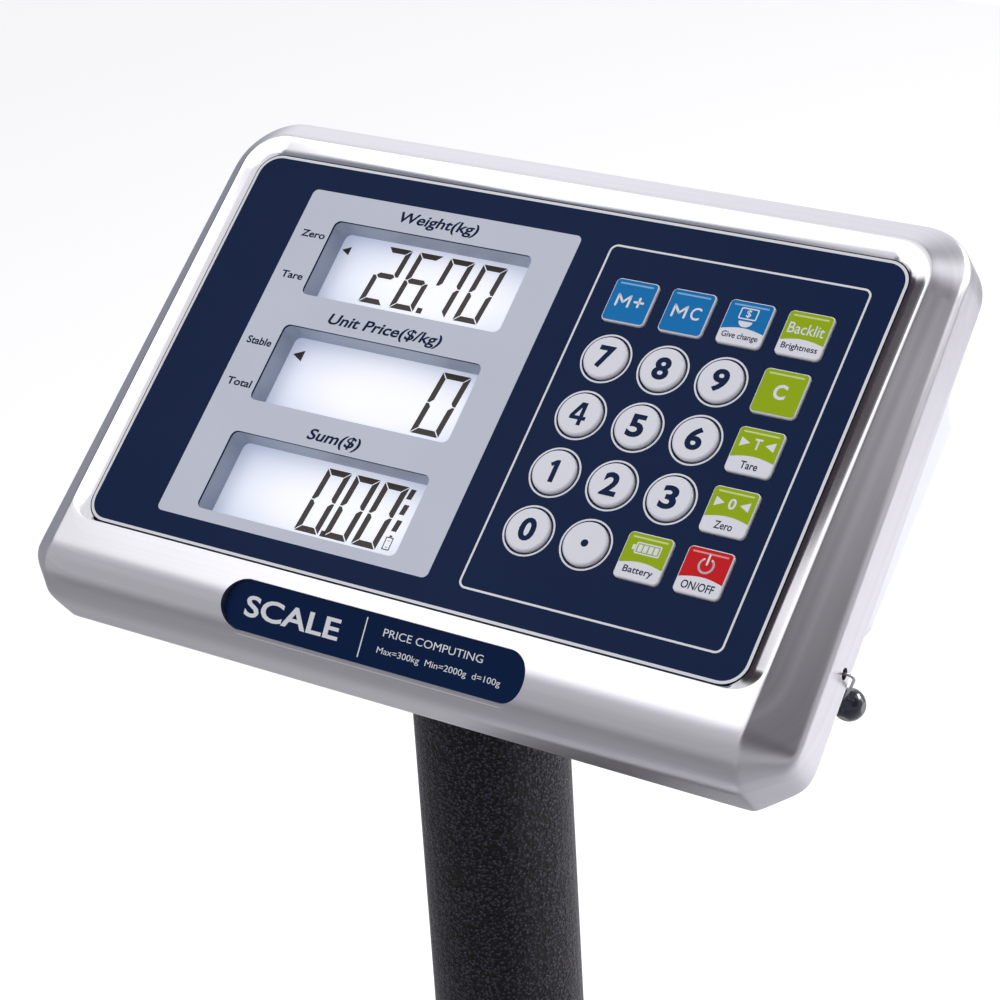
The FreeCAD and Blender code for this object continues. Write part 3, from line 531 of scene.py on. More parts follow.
def shellDistance(x, y, z, reach, ring):
    # below zero inside the head, above zero outside it
    lipY = shell["bottom"] + shell["lip"]
    lipZ = shell["front"] - shell["lip"]
    roll = np.hypot(lipY - y, z - lipZ) - shell["lip"]
    front = np.where(y > lipY, z - shell["front"], np.where(z < lipZ, shell["bottom"] - y, roll))
    t = np.clip(reach / ring, 0, 1)
    rise = np.where(t < 0.8, t, t - (t - 0.8) ** 2 / 0.4)
    slope = z - shell["front"] * rise / 0.9 - np.maximum(reach - ring, 0) * 0.5
    flank = np.radians(shell["facet"])
    beyond = roundedDistance(np.abs(x) - shell["crestHalf"], y - shell["crestTop"], shell["crestCorner"])
    facet = (front + beyond * np.tan(flank)) * np.cos(flank)
    taper = (shell["wallBottomHalf"] - shell["wallTopHalf"]) / (shell["top"] - shell["bottom"])
    side = np.abs(x) - shell["wallTopHalf"] - (shell["top"] - y) * taper
    ends = np.maximum(y - shell["top"], shell["bottom"] - 0.5 - y)
    wall = roundedDistance(side, ends, shell["corner"])
    return softMax(softMax(np.maximum(front, slope), facet, shell["crestSoft"]), wall, shell["wallSoft"])


def shellStations():
    # points round the panel opening, anticlockwise, with the way outwards at each
    half = panel["halfWidth"] + shell["gap"]
    top = panel["top"] + shell["gap"]
    bottom = panel["bottom"] - shell["gap"]
    radius = panel["corner"] + shell["gap"]
    corners = [(half - radius, top - radius, 0), (radius - half, top - radius, 90),
               (radius - half, bottom + radius, 180), (half - radius, bottom + radius, 270)]
    stations = []
    for index, (cx, cy, start) in enumerate(corners):
        for i in range(shell["cornerSteps"] + 1):
            turn = math.radians(start + 90.0 * i / shell["cornerSteps"])
            out = (math.cos(turn), math.sin(turn))
            stations.append((cx + radius * out[0], cy + radius * out[1], *out))
        nx, ny, _ = corners[(index + 1) % 4]
        ax, ay, ux, uy = stations[-1]
        bx, by = nx + radius * ux, ny + radius * uy
        for i in range(1, shell["straightSteps"]):
            share = i / shell["straightSteps"]
            stations.append((ax + (bx - ax) * share, ay + (by - ay) * share, ux, uy))
    return np.array(stations)


def shellRows():
    # for every station, the outer skin from the opening to the back edge
    stations = shellStations()
    px, py, ux, uy = (stations[:, i:i + 1] for i in range(4))
    down = np.clip(-uy, 0, 1)
    ring = shell["ring"] * (1 - down ** 2) + shell["ringBottom"] * down ** 2
    depth = shell["front"] - shell["lip"]
    turns = np.radians(np.linspace(90, 0, 500))[None, :]
    near = np.zeros((len(stations), turns.shape[1]))
    far = near + 60.0
    for _ in range(34):
        middle = (near + far) / 2
        reach = middle * np.cos(turns)
        z = depth + middle * np.sin(turns)
        inside = shellDistance(px + ux * reach, py + uy * reach, z, reach, ring) < 0
        near = np.where(inside, middle, near)
        far = np.where(inside, far, middle)
    reach = near * np.cos(turns)
    height = depth + near * np.sin(turns)
    stepOut = np.diff(reach, axis=1)
    stepUp = np.diff(height, axis=1)
    length = np.hypot(stepOut, stepUp)
    lean = np.unwrap(np.arctan2(stepUp, stepOut), axis=1)
    bend = np.abs(np.diff(lean, axis=1, prepend=lean[:, :1]))
    weight = length / length.sum(axis=1, keepdims=True) + 1.3 * bend / bend.sum(axis=1, keepdims=True)
    along = np.concatenate([np.zeros((len(stations), 1)), np.cumsum(weight, axis=1)], axis=1)
    grid = []
    for k in range(len(stations)):
        marks = np.linspace(0, along[k, -1], shell["rows"])
        r = np.interp(marks, along[k], reach[k])
        h = np.interp(marks, along[k], height[k])
        grid.append([(stations[k, 0] + stations[k, 2] * a, stations[k, 1] + stations[k, 3] * a, b, a)
                     for a, b in zip(r, h)])
    return stations, np.array(grid), ring


def shellSkins():
    # outer skin, back rim, inner skin and the return round the opening, as one closed loop per station
    stations, grid, ring = shellRows()
    sheet = shell["sheet"]
    step = 0.01
    x, y, z, reach = (grid[:, :, i] for i in range(4))
    here = shellDistance(x, y, z, reach, ring)
    slopeX = shellDistance(x + step, y, z, reach + step * stations[:, 2:3], ring) - here
    slopeY = shellDistance(x, y + step, z, reach + step * stations[:, 3:4], ring) - here
    slopeZ = shellDistance(x, y, z + step, reach, ring) - here
    size = np.sqrt(slopeX ** 2 + slopeY ** 2 + slopeZ ** 2)
    inner = np.stack([x - sheet * slopeX / size, y - sheet * slopeY / size, z - sheet * slopeZ / size], axis=2)
    first = int(np.argmax(reach.min(axis=0) > 2.2))
    run = shell["top"] - shell["bottom"]
    loops = []
    for k in range(len(stations)):
        px, py, ux, uy = stations[k]
        loop = [(px, py, -shell["returnDepth"]), (px, py, -0.35), (px + ux * 0.1, py + uy * 0.1, -0.08)]
        loop += [tuple(point[:3]) for point in grid[k][1:]]
        outX, outY = grid[k, -1, 0], grid[k, -1, 1]
        back = shell["backBottom"] + (outY - shell["bottom"]) / run * (shell["backTop"] - shell["backBottom"])
        inX, inY = inner[k, -1, 0], inner[k, -1, 1]
        loop += [(outX, outY, back + 0.25), (outX * 0.75 + inX * 0.25, outY * 0.75 + inY * 0.25, back),
                 (inX, inY, back)]
        loop += [tuple(point) for point in inner[k][:first - 1:-1]]
        loop += [(px + ux * sheet, py + uy * sheet, -sheet - 0.3),
                 (px + ux * sheet, py + uy * sheet, -shell["returnDepth"])]
        loops.append(loop)
    return loops, ring


def frontShell():
    loops, ring = shellSkins()
    count = len(loops)
    size = len(loops[0])
    verts = [point for loop in loops for point in loop]
    faces = []
    polished = []
    for k in range(count):
        after = (k + 1) % count
        for i in range(size):
            j = (i + 1) % size
            faces.append((k * size + i, after * size + i, after * size + j, k * size + j))
            x, y, z = loops[k][i]
            polished.append(1 < i < shell["rows"] and panelReach(x, y) < min(ring[k][0], ring[after][0]) - 0.05)
    piece = addMesh("stainless_shell", (verts, faces), headMatrix, look["stainless"], "head", True)
    piece.data.materials.append(look["polished"])
    for face, shiny in zip(piece.data.polygons, polished):
        face.material_index = 1 if shiny else 0
    unroll(piece.data, loops)
    cut(piece, badgeCutter())
    y, z, radius = shell["sealHole"]
    verts, faces = prism(circleOutline(-z, y, radius, 40), *shell["sealCut"])
    cut(piece, helper(([(h, b, -a) for a, b, h in verts], faces), headMatrix))
    piece.data.set_sharp_from_angle(angle=math.radians(shell["crease"]))
    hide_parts("front_shell")


def unroll(mesh, loops):
    # surface coordinates in metres: along the rim, then across it
    size = len(loops[0])
    along = [0.0]
    for k in range(1, len(loops) + 1):
        here, before = Vector(loops[k % len(loops)][size // 3]), Vector(loops[k - 1][size // 3])
        along.append(along[-1] + (here - before).length * mm)
    layer = mesh.uv_layers.new(name="surface")
    across = []
    for loop in loops:
        row = [0.0]
        for i in range(1, size + 1):
            row.append(row[-1] + (Vector(loop[i % size]) - Vector(loop[i - 1])).length * mm)
        across.append(row)
    for face in mesh.polygons:
        corners = [divmod(mesh.loops[index].vertex_index, size) for index in face.loop_indices]
        wrapK = max(k for k, i in corners) - min(k for k, i in corners) > 1
        wrapI = max(i for k, i in corners) - min(i for k, i in corners) > 1
        for index, (k, i) in zip(face.loop_indices, corners):
            row = i + size if wrapI and i == 0 else i
            station = k + len(loops) if wrapK and k == 0 else k
            layer.data[index].uv = (along[station], across[k][row])


def panelReach(x, y):
    half = panel["halfWidth"] + shell["gap"]
    top = panel["top"] + shell["gap"]
    bottom = panel["bottom"] - shell["gap"]
    return float(roundedDistance(abs(x) - half, max(y - top, bottom - y), panel["corner"] + shell["gap"]))


def helper(shape, matrix):
    mesh = bpy.data.meshes.new("helper")
    mesh.from_pydata([matrix @ Vector(v) for v in shape[0]], [], shape[1])
    cleanNormals(mesh)
    tool = bpy.data.objects.new("helper", mesh)
    bpy.context.scene.collection.objects.link(tool)
    return tool


def cut(piece, tool):
    # takes the tool's volume out of the piece and removes the tool
    modifier = piece.modifiers.new("cut", "BOOLEAN")
    modifier.operation = "DIFFERENCE"
    modifier.solver = "EXACT"
    modifier.object = tool
    bpy.context.view_layer.update()
    result = bpy.data.meshes.new_from_object(piece.evaluated_get(bpy.context.evaluated_depsgraph_get()))
    piece.modifiers.clear()
    old = piece.data
    piece.data = result
    bpy.data.meshes.remove(old)
    shape = tool.data
    bpy.data.objects.remove(tool)
    bpy.data.meshes.remove(shape)


badge = dict(y=-119.0, z=-1.6, tilt=17.0, length=105.4, height=15.2, thickness=1.0, gap=0.15)
badgeMatrix = headMatrix @ Matrix.Translation((0, badge["y"], badge["z"])) @ \
    Matrix.Rotation(math.radians(badge["tilt"]), 4, "X")


def stadium(grow):
    half = badge["height"] / 2 + grow
    reach = badge["length"] / 2 + grow
    return roundedOutline(-reach, reach, -half, half, half - 0.01, 20)


def badgeCutter():
    return helper(prism(stadium(badge["gap"]), -badge["thickness"], 14.0), badgeMatrix)


def lipHeight(v):
    # how far the lip stands over the badge's plane, v above the badge's middle line
    tilt = math.radians(badge["tilt"])
    high = 0.0
    for i in range(200):
        h = i * 0.02
        y = badge["y"] + v * math.cos(tilt) - h * math.sin(tilt)
        z = badge["z"] + v * math.sin(tilt) + h * math.cos(tilt)
        below = shell["bottom"] + shell["lip"] - y
        surface = shell["front"]
        if below > 0:
            surface += math.sqrt(max(shell["lip"] ** 2 - below ** 2, 0)) - shell["lip"]
        if z < surface:
            high = h
    return high


def badgePan():
    # the wall and floor of the recess under the sheet
    inner = stadium(badge["gap"] + 0.01)
    outer = stadium(badge["gap"] + shell["sheet"])
    floor = -badge["thickness"] - 0.01
    count = len(inner)
    tops = [max(lipHeight(y) - 0.35, floor + 0.4) for x, y in inner]
    verts = [(x, y, floor - shell["sheet"]) for x, y in outer]
    verts += [(x, y, max(lipHeight(y) - 0.5, floor + 0.2)) for x, y in outer]
    verts += [(x, y, top) for (x, y), top in zip(inner, tops)]
    verts += [(x, y, floor) for x, y in inner]
    faces = [tuple(range(count))[::-1], tuple(range(3 * count, 4 * count))] + ringFaces(4, count)
    addMesh("badge_pan", (verts, faces), badgeMatrix, look["stainless"], "head")


frontShell()
badgePan()
print("shell swept")

# printing on the film
film = dict(lift=0.05, silver=(-90.2, 9.2, -97.7, 18.6, 1.9), keyFrame=(19.7, 105.4, -97.7, 18.1, 2.6),
            line=0.65, paintedEdgeHighlight=0.9, windows=(-77.0, -3.9, 27.0, 9.1, 38.0, 2.2))


def windowBox(index):
    left, right, height, top, pitch, corner = film["windows"]
    high = top - index * pitch
    return left, right, high - height, high, corner


def silverField():
    # the light field round the three windows, as a frame with three holes
    x0, x1, y0, y1, corner = film["silver"]
    work = bmesh.new()
    loops = [roundedOutline(x0, x1, y0, y1, corner, 6)]
    for index in range(3):
        left, right, low, high, small = windowBox(index)
        loops.append(roundedOutline(left, right, low, high, small, 6))
    edges = []
    for loop in loops:
        ring = [work.verts.new((x, y, -inkLayer["under"])) for x, y in loop]
        for i in range(len(ring)):
            edges.append(work.edges.new((ring[i], ring[(i + 1) % len(ring)])))
    bmesh.ops.triangle_fill(work, use_beauty=True, edges=edges)
    inside = []
    for face in work.faces:
        centre = face.calc_center_median()
        for index in range(3):
            left, right, low, high, small = windowBox(index)
            if left < centre.x < right and low < centre.y < high:
                inside.append(face)
                break
    bmesh.ops.delete(work, geom=inside, context="FACES")
    thicken(work, film["lift"] * 0.6 + inkLayer["under"])
    addMesh("silver_field", shapeOf(work), headMatrix, look["silver"], "head")


def band(box, width, steps=8):
    x0, x1, y0, y1, corner = box
    outer = roundedOutline(x0, x1, y0, y1, corner, steps)
    inner = roundedOutline(x0 + width, x1 - width, y0 + width, y1 - width, corner - width, steps)
    return ringPrism(outer, inner, -inkLayer["under"], film["lift"])


keys = dict(pitch=19.0, rowPitch=19.05, firstX=34.1, ringRadius=8.1, ringWidth=0.55,
            roundTop=1.1, squareTop=0.8, size=14.5)
numerals = [("seven", "7", 0, 1), ("eight", "8", 1, 1), ("nine", "9", 2, 1),
            ("four", "4", 0, 2), ("five", "5", 1, 2), ("six", "6", 2, 2),
            ("one", "1", 0, 3), ("two", "2", 1, 3), ("three", "3", 2, 3),
            ("zero", "0", 0, 4)]


def keyCentre(column, row):
    return keys["firstX"] + column * keys["pitch"], -row * keys["rowPitch"]


def filmLines():
    parts = [band(film["keyFrame"], film["line"])]
    # a white band just inside the panel's edge: a painted highlight where the steel edge catches the light
    half = panel["halfWidth"]
    edge = (-half, half, panel["bottom"], panel["top"], panel["corner"])
    parts.append(band(edge, film["paintedEdgeHighlight"]))
    for _, _, column, row in numerals + [("point", ".", 1, 4)]:
        cx, cy = keyCentre(column, row)
        parts.append(ringPrism(circleOutline(cx, cy, keys["ringRadius"]),
                               circleOutline(cx, cy, keys["ringRadius"] - keys["ringWidth"]),
                               -inkLayer["under"], film["lift"]))
    addMesh("film_lines", merge(parts), headMatrix, look["white"], "head")


# each label: text, middle x and y, width, height
labels = dict(bold=0.022, slant=0.22,
              titles=[("Weight(kg)", -40.9, 13.7, 29.6, 4.9), ("Unit Price($/kg)", -41.9, -24.8, 41.6, 4.9),
                      ("Sum($)", -41.2, -63.1, 19.0, 4.9)],
              words=[("Zero", -82.7, 2.85, 9.0, 2.5), ("Tare", -83.1, -12.3, 8.2, 2.5),
                     ("Stable", -83.1, -36.5, 9.3, 2.6), ("Total", -83.1, -51.3, 9.2, 2.6)])


def filmLabels():
    top = film["lift"]
    parts = [lettering(*item, top, labels["bold"], labels["slant"]) for item in labels["titles"]]
    parts += [lettering(*item, top, labels["bold"]) for item in labels["words"]]
    addMesh("film_labels", merge(parts), headMatrix, look["navy"], "head")


silverField()
filmLines()
filmLabels()
print("film printed")

# displays
digits = dict(slant=0.10, thick=1.9, gap=0.24, plane=-8.16, rise=0.05, point=0.95)
segmentsOf = {"0": "abcdef", "2": "abged", "6": "acdefg", "7": "abcf"}

# figures as character, left, bottom, width, height; arrows as x, y, half height; the rest as boxes
readings = dict(
    figures=[("2", -60.9, -12.9, 8.9, 20.4), ("6", -49.3, -12.9, 8.9, 20.4), ("7", -37.7, -12.9, 8.9, 20.4),
             ("0", -25.7, -12.9, 8.9, 20.4), ("0", -22.3, -51.6, 10.2, 21.3), ("0", -45.4, -90.4, 8.7, 21.6),
             ("0", -34.9, -90.4, 8.7, 21.6), ("0", -24.4, -90.4, 8.7, 21.6)],
    points=[(-39.3, -12.0), (-36.0, -89.5)],
    arrows=[(-74.7, 3.4, 1.5), (-73.6, -34.9, 1.9)],
    level=[(-69.2, 3.4), (-74.4, 3.4), (-79.6, 3.8)],
    batteryCase=[(-14.8, -12.2, -89.6, -85.4), (-14.5, -12.5, -89.3, -85.7)],
    batteryMarks=[(-14.0, -13.0, -85.3, -84.8), (-13.9, -13.1, -88.8, -88.6), (-13.9, -13.1, -86.7, -86.5)])


def segment(kind, width, height, thick, gap):
    # one mitred bar of a seven-segment figure, with the figure's lower left corner at (0, 0)
    mid = height / 2
    if kind == "g":
        x0, x1 = thick / 2 + gap, width - thick / 2 - gap
        half = thick / 2
        return [(x0, mid), (x0 + half, mid + half), (x1 - half, mid + half),
                (x1, mid), (x1 - half, mid - half), (x0 + half, mid - half)]
    if kind in "ad":
        bar = [(gap, 0), (width - gap, 0), (width - thick - gap, thick), (thick + gap, thick)]
        return [(x, height - y) for x, y in bar][::-1] if kind == "a" else bar
    bar = [(0, gap), (thick, thick + gap), (thick, mid - thick / 2 - gap),
           (thick / 2, mid - gap * 0.7), (0, mid - gap * 0.7)]
    if kind in "fb":
        bar = [(x, height - y) for x, y in bar]
    if kind in "bc":
        bar = [(width - x, y) for x, y in bar]
    return bar


def figure(character, left, bottom, width, height, plane=digits["plane"]):
    parts = []
    for kind in segmentsOf[character]:
        outline = segment(kind, width, height, digits["thick"] * height / 21.0, digits["gap"])
        placed = [(left + x + (y - height / 2) * digits["slant"], bottom + y) for x, y in outline]
        parts.append(blob(placed, plane))
    return parts


def blob(points, plane=digits["plane"]):
    return prism(points, plane - inkLayer["under"], plane + digits["rise"])


def displayFigures():
    parts = []
    for item in readings["figures"]:
        parts += figure(*item)
    size = digits["point"]
    parts += [blob(rectangle(cx - size, cx + size, cy - size, cy + size)) for cx, cy in readings["points"]]
    parts += [blob([(cx - half, cy), (cx + half, cy - half), (cx + half, cy + half)])
              for cx, cy, half in readings["arrows"]]
    parts += [blob([(-14.3, top - tall), (-12.5, top - tall), (-12.0, top), (-13.8, top)])
              for top, tall in readings["level"]]
    outer, inner = (rectangle(*box) for box in readings["batteryCase"])
    parts.append(ringPrism(outer, inner, digits["plane"] - inkLayer["under"], digits["plane"] + digits["rise"]))
    parts += [blob(rectangle(*box)) for box in readings["batteryMarks"]]
    addMesh("display_figures", merge(parts), headMatrix, look["ink"], "head")


# the glow's middle is shifted right of and below each window's middle, so each face darkens most at its left
# and top: painted shade where the window walls shade it
glass = dict(over=1.0, corner=1.0, thickness=0.3, middle=(0.93, 0.94, 0.99), edge=(0.57, 0.64, 0.80),
             strength=0.34, reach=(0.042, 0.018, 0.018), shift=(4.0, -1.0))


def displayFaces():
    # the lit face of each display, just proud of the glass
    plane = digits["plane"]
    grow = glass["over"]
    for index in range(3):
        left, right, low, high, _ = windowBox(index)
        outline = roundedOutline(left - grow, right + grow, low - grow, high + grow, glass["corner"], 3)
        moveX, moveY = glass["shift"]
        middle = headMatrix @ Vector(((left + right) / 2 + moveX, (low + high) / 2 + moveY, plane))
        glow = displayGlow("displayGlow%d" % index, glass["middle"], glass["edge"], glass["strength"], middle,
                           glass["reach"])
        addMesh("display_face_%d" % (index + 1), prism(outline, plane - glass["thickness"], plane), headMatrix,
                glow, "head")


displayFaces()
displayFigures()
print("displays lit")

# customer display on the back of the head
rearFace = dict(top=(36.5, -20.9), bottom=(13.5, -67.8), depth=3.1, face=(73.8, 11.8), corner=0.8,
                middle=(0.80, 0.86, 0.97), edge=(0.42, 0.50, 0.66), strength=0.5, reach=(0.085, 0.02, 0.02),
                figures=[("2670", -27.0), ("0", 22.0), ("000", 66.0)], figureSize=(6.0, 12.4), pitch=8.2,
                points=(-43.0, 50.0), dividers=(-22.0, 27.0),
                labels=[("Weight", -45.0), ("Unit Price", 4.0), ("Sum", 50.0)])


def rearMatrix():
    # x to the customer's right, y up the rear face, z out of it
    (y1, z1), (y0, z0) = rearFace["top"], rearFace["bottom"]
    up = Vector((0, y1 - y0, z1 - z0)).normalized()
    across = Vector((-1, 0, 0))
    out = across.cross(up)
    place = Matrix((across, up, out)).transposed().to_4x4()
    place.translation = Vector((0, (y0 + y1) / 2, (z0 + z1) / 2))
    return headMatrix @ place


def rearDisplay():
    place = rearMatrix()
    low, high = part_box("rear_window")
    y = (place.inverted() @ ((low + high) / 2)).y
    half, tall = rearFace["face"]
    plane = -rearFace["depth"]
    glow = displayGlow("rearGlow", rearFace["middle"], rearFace["edge"], rearFace["strength"],
                       place @ Vector((0, y, plane)), rearFace["reach"])
    outline = roundedOutline(-half, half, y - tall, y + tall, rearFace["corner"], 3)
    addMesh("rear_display_face", prism(outline, plane - glass["thickness"], plane), place, glow, "head")
    parts = []
    width, height = rearFace["figureSize"]
    for text, right in rearFace["figures"]:
        for i, character in enumerate(reversed(text)):
            parts += figure(character, right - 6.6 - i * rearFace["pitch"], y - 7.6, width, height, plane)
    parts += [blob(rectangle(x, x + 1.0, y - 7.6, y - 6.6), plane) for x in rearFace["points"]]
    parts += [blob(rectangle(x, x + 0.35, y - 8.0, y + 8.5), plane) for x in rearFace["dividers"]]
    parts += [lettering(text, x, y + 8.6, len(text) * 1.55, 2.2, plane + 0.03, 0.01)
              for text, x in rearFace["labels"]]
    addMesh("rear_display_figures", merge(parts), place, look["ink"], "head")


rearDisplay()
print("rear display lit")

# platform tray, folded sheet
tray = dict(corner=6.0, fold=3.0, sheet=1.5, foldSteps=6, cornerSteps=6, crease=40)


def trayPan():
    low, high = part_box("platform_tray")
    x0, y0, z0 = (v / mm for v in low)
    x1, y1, z1 = (v / mm for v in high)
    rows = []
    for inset, drop in ((0.0, 0.0), (tray["sheet"], tray["sheet"])):
        fold = tray["fold"] - drop
        skin = [(inset, z0)]
        for i in range(tray["foldSteps"] + 1):
            turn = math.radians(90.0 * i / tray["foldSteps"])
            skin.append((inset + fold * (1 - math.cos(turn)), z1 - drop - fold * (1 - math.sin(turn))))
        rows.append(skin)
    verts = []
    for inset, z in rows[0][::-1] + rows[1]:
        outline = roundedOutline(x0 + inset, x1 - inset, y0 + inset, y1 - inset,
                                 max(tray["corner"] - inset, 0.8), tray["cornerSteps"])
        verts += [(x, y, z) for x, y in outline]
    count = len(outline)
    faces = [tuple(range(count)), tuple(range(len(verts) - count, len(verts)))[::-1]]
    faces += [face[::-1] for face in ringFaces(len(verts) // count, count)]
    piece = addMesh("tray_pan", (verts, faces), worldScale, look["tray"], "tray", True)
    layer = piece.data.uv_layers.new(name="surface")
    for face in piece.data.polygons:
        flat = abs(face.normal.z) > 0.9
        sideways = abs(face.normal.x) > abs(face.normal.y)
        for index in face.loop_indices:
            x, y, z = piece.data.vertices[piece.data.loops[index].vertex_index].co
            layer.data[index].uv = (y, x) if flat else ((y, z) if sideways else (x, z))
    piece.data.set_sharp_from_angle(angle=math.radians(tray["crease"]))
    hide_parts("platform_tray")


trayPan()

# levelling feet
foot = dict(stud=5.0, thread=0.55, pitch=1.5, ring=24, perTurn=8, studLow=11.0, padSteps=64, crease=35,
            pad=[(0.0, 0.0), (17.0, 0.0), (17.4, 1.0), (19.0, 1.0), (19.4, 0.0), (21.2, 0.0), (22.0, 0.8),
                 (22.0, 2.6), (21.4, 3.3), (18.5, 5.6), (14.6, 9.6), (13.2, 12.2), (12.0, 13.0),
                 (7.5, 13.0), (6.8, 12.4), (0.0, 12.4)])


def revolve(profile, steps, centre):
    verts = []
    for radius, z in profile:
        verts += [(x, y, z) for x, y in circleOutline(*centre, radius, steps)]
    return verts, ringFaces(len(profile), steps)


def threadedStud(centre, z0, z1):
    rows = int((z1 - z0) / foot["pitch"] * foot["perTurn"])
    steps = foot["ring"]
    verts = []
    for k in range(rows + 1):
        z = z0 + (z1 - z0) * k / rows
        for i in range(steps):
            turn = 2 * math.pi * i / steps
            phase = (z / foot["pitch"] - i / steps) % 1.0
            radius = foot["stud"] - foot["thread"] * (1 - abs(2 * phase - 1))
            if k in (0, rows):
                radius = foot["stud"] - foot["thread"]
            verts.append((centre[0] + radius * math.cos(turn), centre[1] + radius * math.sin(turn), z))
    faces = [tuple(range(steps))[::-1], tuple(range(rows * steps, (rows + 1) * steps))]
    return verts, faces + ringFaces(rows + 1, steps)


def makeFoot(name):
    low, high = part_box(name)
    centre = ((low.x + high.x) / 2 / mm, (low.y + high.y) / 2 / mm)
    steps = foot["padSteps"]
    profile = [(max(r, 0.02), z) for r, z in foot["pad"]]
    verts, faces = revolve(profile, steps, centre)
    faces += [tuple(range(steps))[::-1], tuple(range(len(verts) - steps, len(verts)))]
    pad = addMesh(name + "_pad", (verts, faces), worldScale, look["rubber"], name, True)
    pad.data.set_sharp_from_angle(angle=math.radians(foot["crease"]))
    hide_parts(name)
    stud = threadedStud(centre, foot["studLow"], high.z / mm)
    addMesh(name + "_stud", stud, worldScale, look["zinc"], name)


for side in ("left", "right"):
    for end in ("front", "rear"):
        makeFoot("foot_%s_%s" % (side, end))


# weld round the foot of the column
weld = dict(radius=24.4, bead=2.3, swell=0.35, ripples=46, around=276, across=10)


def columnWeld():
    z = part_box("column_foot")[1].z / mm
    low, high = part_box("column_tube")
    cx = (low.x + high.x) / 2 / mm
    cy = (low.y + high.y) / 2 / mm
    verts = []
    for i in range(weld["around"]):
        turn = 2 * math.pi * i / weld["around"]
        bead = weld["bead"] + weld["swell"] * abs(math.sin(turn * weld["ripples"] / 2))
        for j in range(weld["across"]):
            lean = 2 * math.pi * j / weld["across"]
            radius = weld["radius"] + bead * math.cos(lean)
            height = z + bead * math.sin(lean)
            verts.append((cx + radius * math.cos(turn), cy + radius * math.sin(turn), height))
    shape = (verts, ringFaces(weld["around"], weld["across"], True))
    addMesh("column_weld", shape, worldScale, look["paint"], "base", True)


columnWeld()
print("platform details made")

# key caps: prints and figures
squareKeys = dict(
    memory_add=("blue", 0, 0, False), memory_clear=("blue", 1, 0, False),
    give_change=("blue", 2, 0, True), backlight=("green", 3, 0, True),
    clear=("green", 3, 1, False), tare=("green", 3, 2, True), set_zero=("green", 3, 3, True),
    battery_state=("green", 2, 4, True), on_off=("red", 3, 4, True))


keyPrint = dict(margin=0.42, corner=1.1, strip=2.1, arch=(0.55, 1.1), rise=0.04,
                shineInset=1.2, shineBand=(1.5, 0.95), shineCorner=0.27, shineRise=(0.03, 0.06))


def keyColour(name):
    # the printed colour on a square cap; a light label strip stays below it
    colour, column, row, labelled = squareKeys[name]
    cx, cy = keyCentre(column, row)
    half = keys["size"] / 2 - keyPrint["margin"]
    top = keys["squareTop"]
    low = cy - (keyPrint["strip"] if labelled else half)
    outline = roundedOutline(cx - half, cx + half, low, cy + half, keyPrint["corner"], 5)
    if labelled:
        drop, rise = keyPrint["arch"]
        outline = [point for point in outline if point[1] > cy]
        for i in range(13):
            share = i / 12
            outline.append((cx - half + 2 * half * share, low - drop + rise * math.sin(math.pi * share)))
    shape = prism(outline, top - inkLayer["under"], top + keyPrint["rise"])
    addMesh("print_" + name, shape, headMatrix, look[colour], "key_" + name)
    inset = half - keyPrint["shineInset"]
    near, far = (cy + half - drop for drop in keyPrint["shineBand"])
    shine = roundedOutline(cx - inset, cx + inset, near, far, keyPrint["shineCorner"], 3)
    shape = prism(shine, *(top + rise for rise in keyPrint["shineRise"]))
    addMesh("shine_" + name, shape, headMatrix, look[colour + "Shine"], "key_" + name)


def plate(points, z):
    return prism(points, z - inkLayer["under"], z + inkLayer["plate"])


def strokes(lines, width, z):
    # round-ended lines from point to point
    parts = []
    for (ax, ay), (bx, by) in lines:
        start = math.atan2(by - ay, bx - ax)
        outline = []
        for x, y, first in ((ax, ay, math.pi / 2), (bx, by, -math.pi / 2)):
            for i in range(9):
                turn = start + first + math.pi * i / 8
                outline.append((x + math.cos(turn) * width / 2, y + math.sin(turn) * width / 2))
        parts.append(plate(outline, z))
    return parts


def letterM(x, y):
    return [((x, y), (x, y + 3.6)), ((x, y + 3.6), (x + 2.0, y + 1.2)),
            ((x + 2.0, y + 1.2), (x + 4.0, y + 3.6)), ((x + 4.0, y + 3.6), (x + 4.0, y))]


# each caption under a colour: text, width, height
captions = dict(give_change=("Give change", 11.6, 2.5), backlight=("Brightness", 11.4, 2.5),
                tare=("Tare", 5.4, 2.4), set_zero=("Zero", 5.6, 2.4),
                battery_state=("Battery", 9.4, 2.7), on_off=("ON/OFF", 10.2, 2.5))


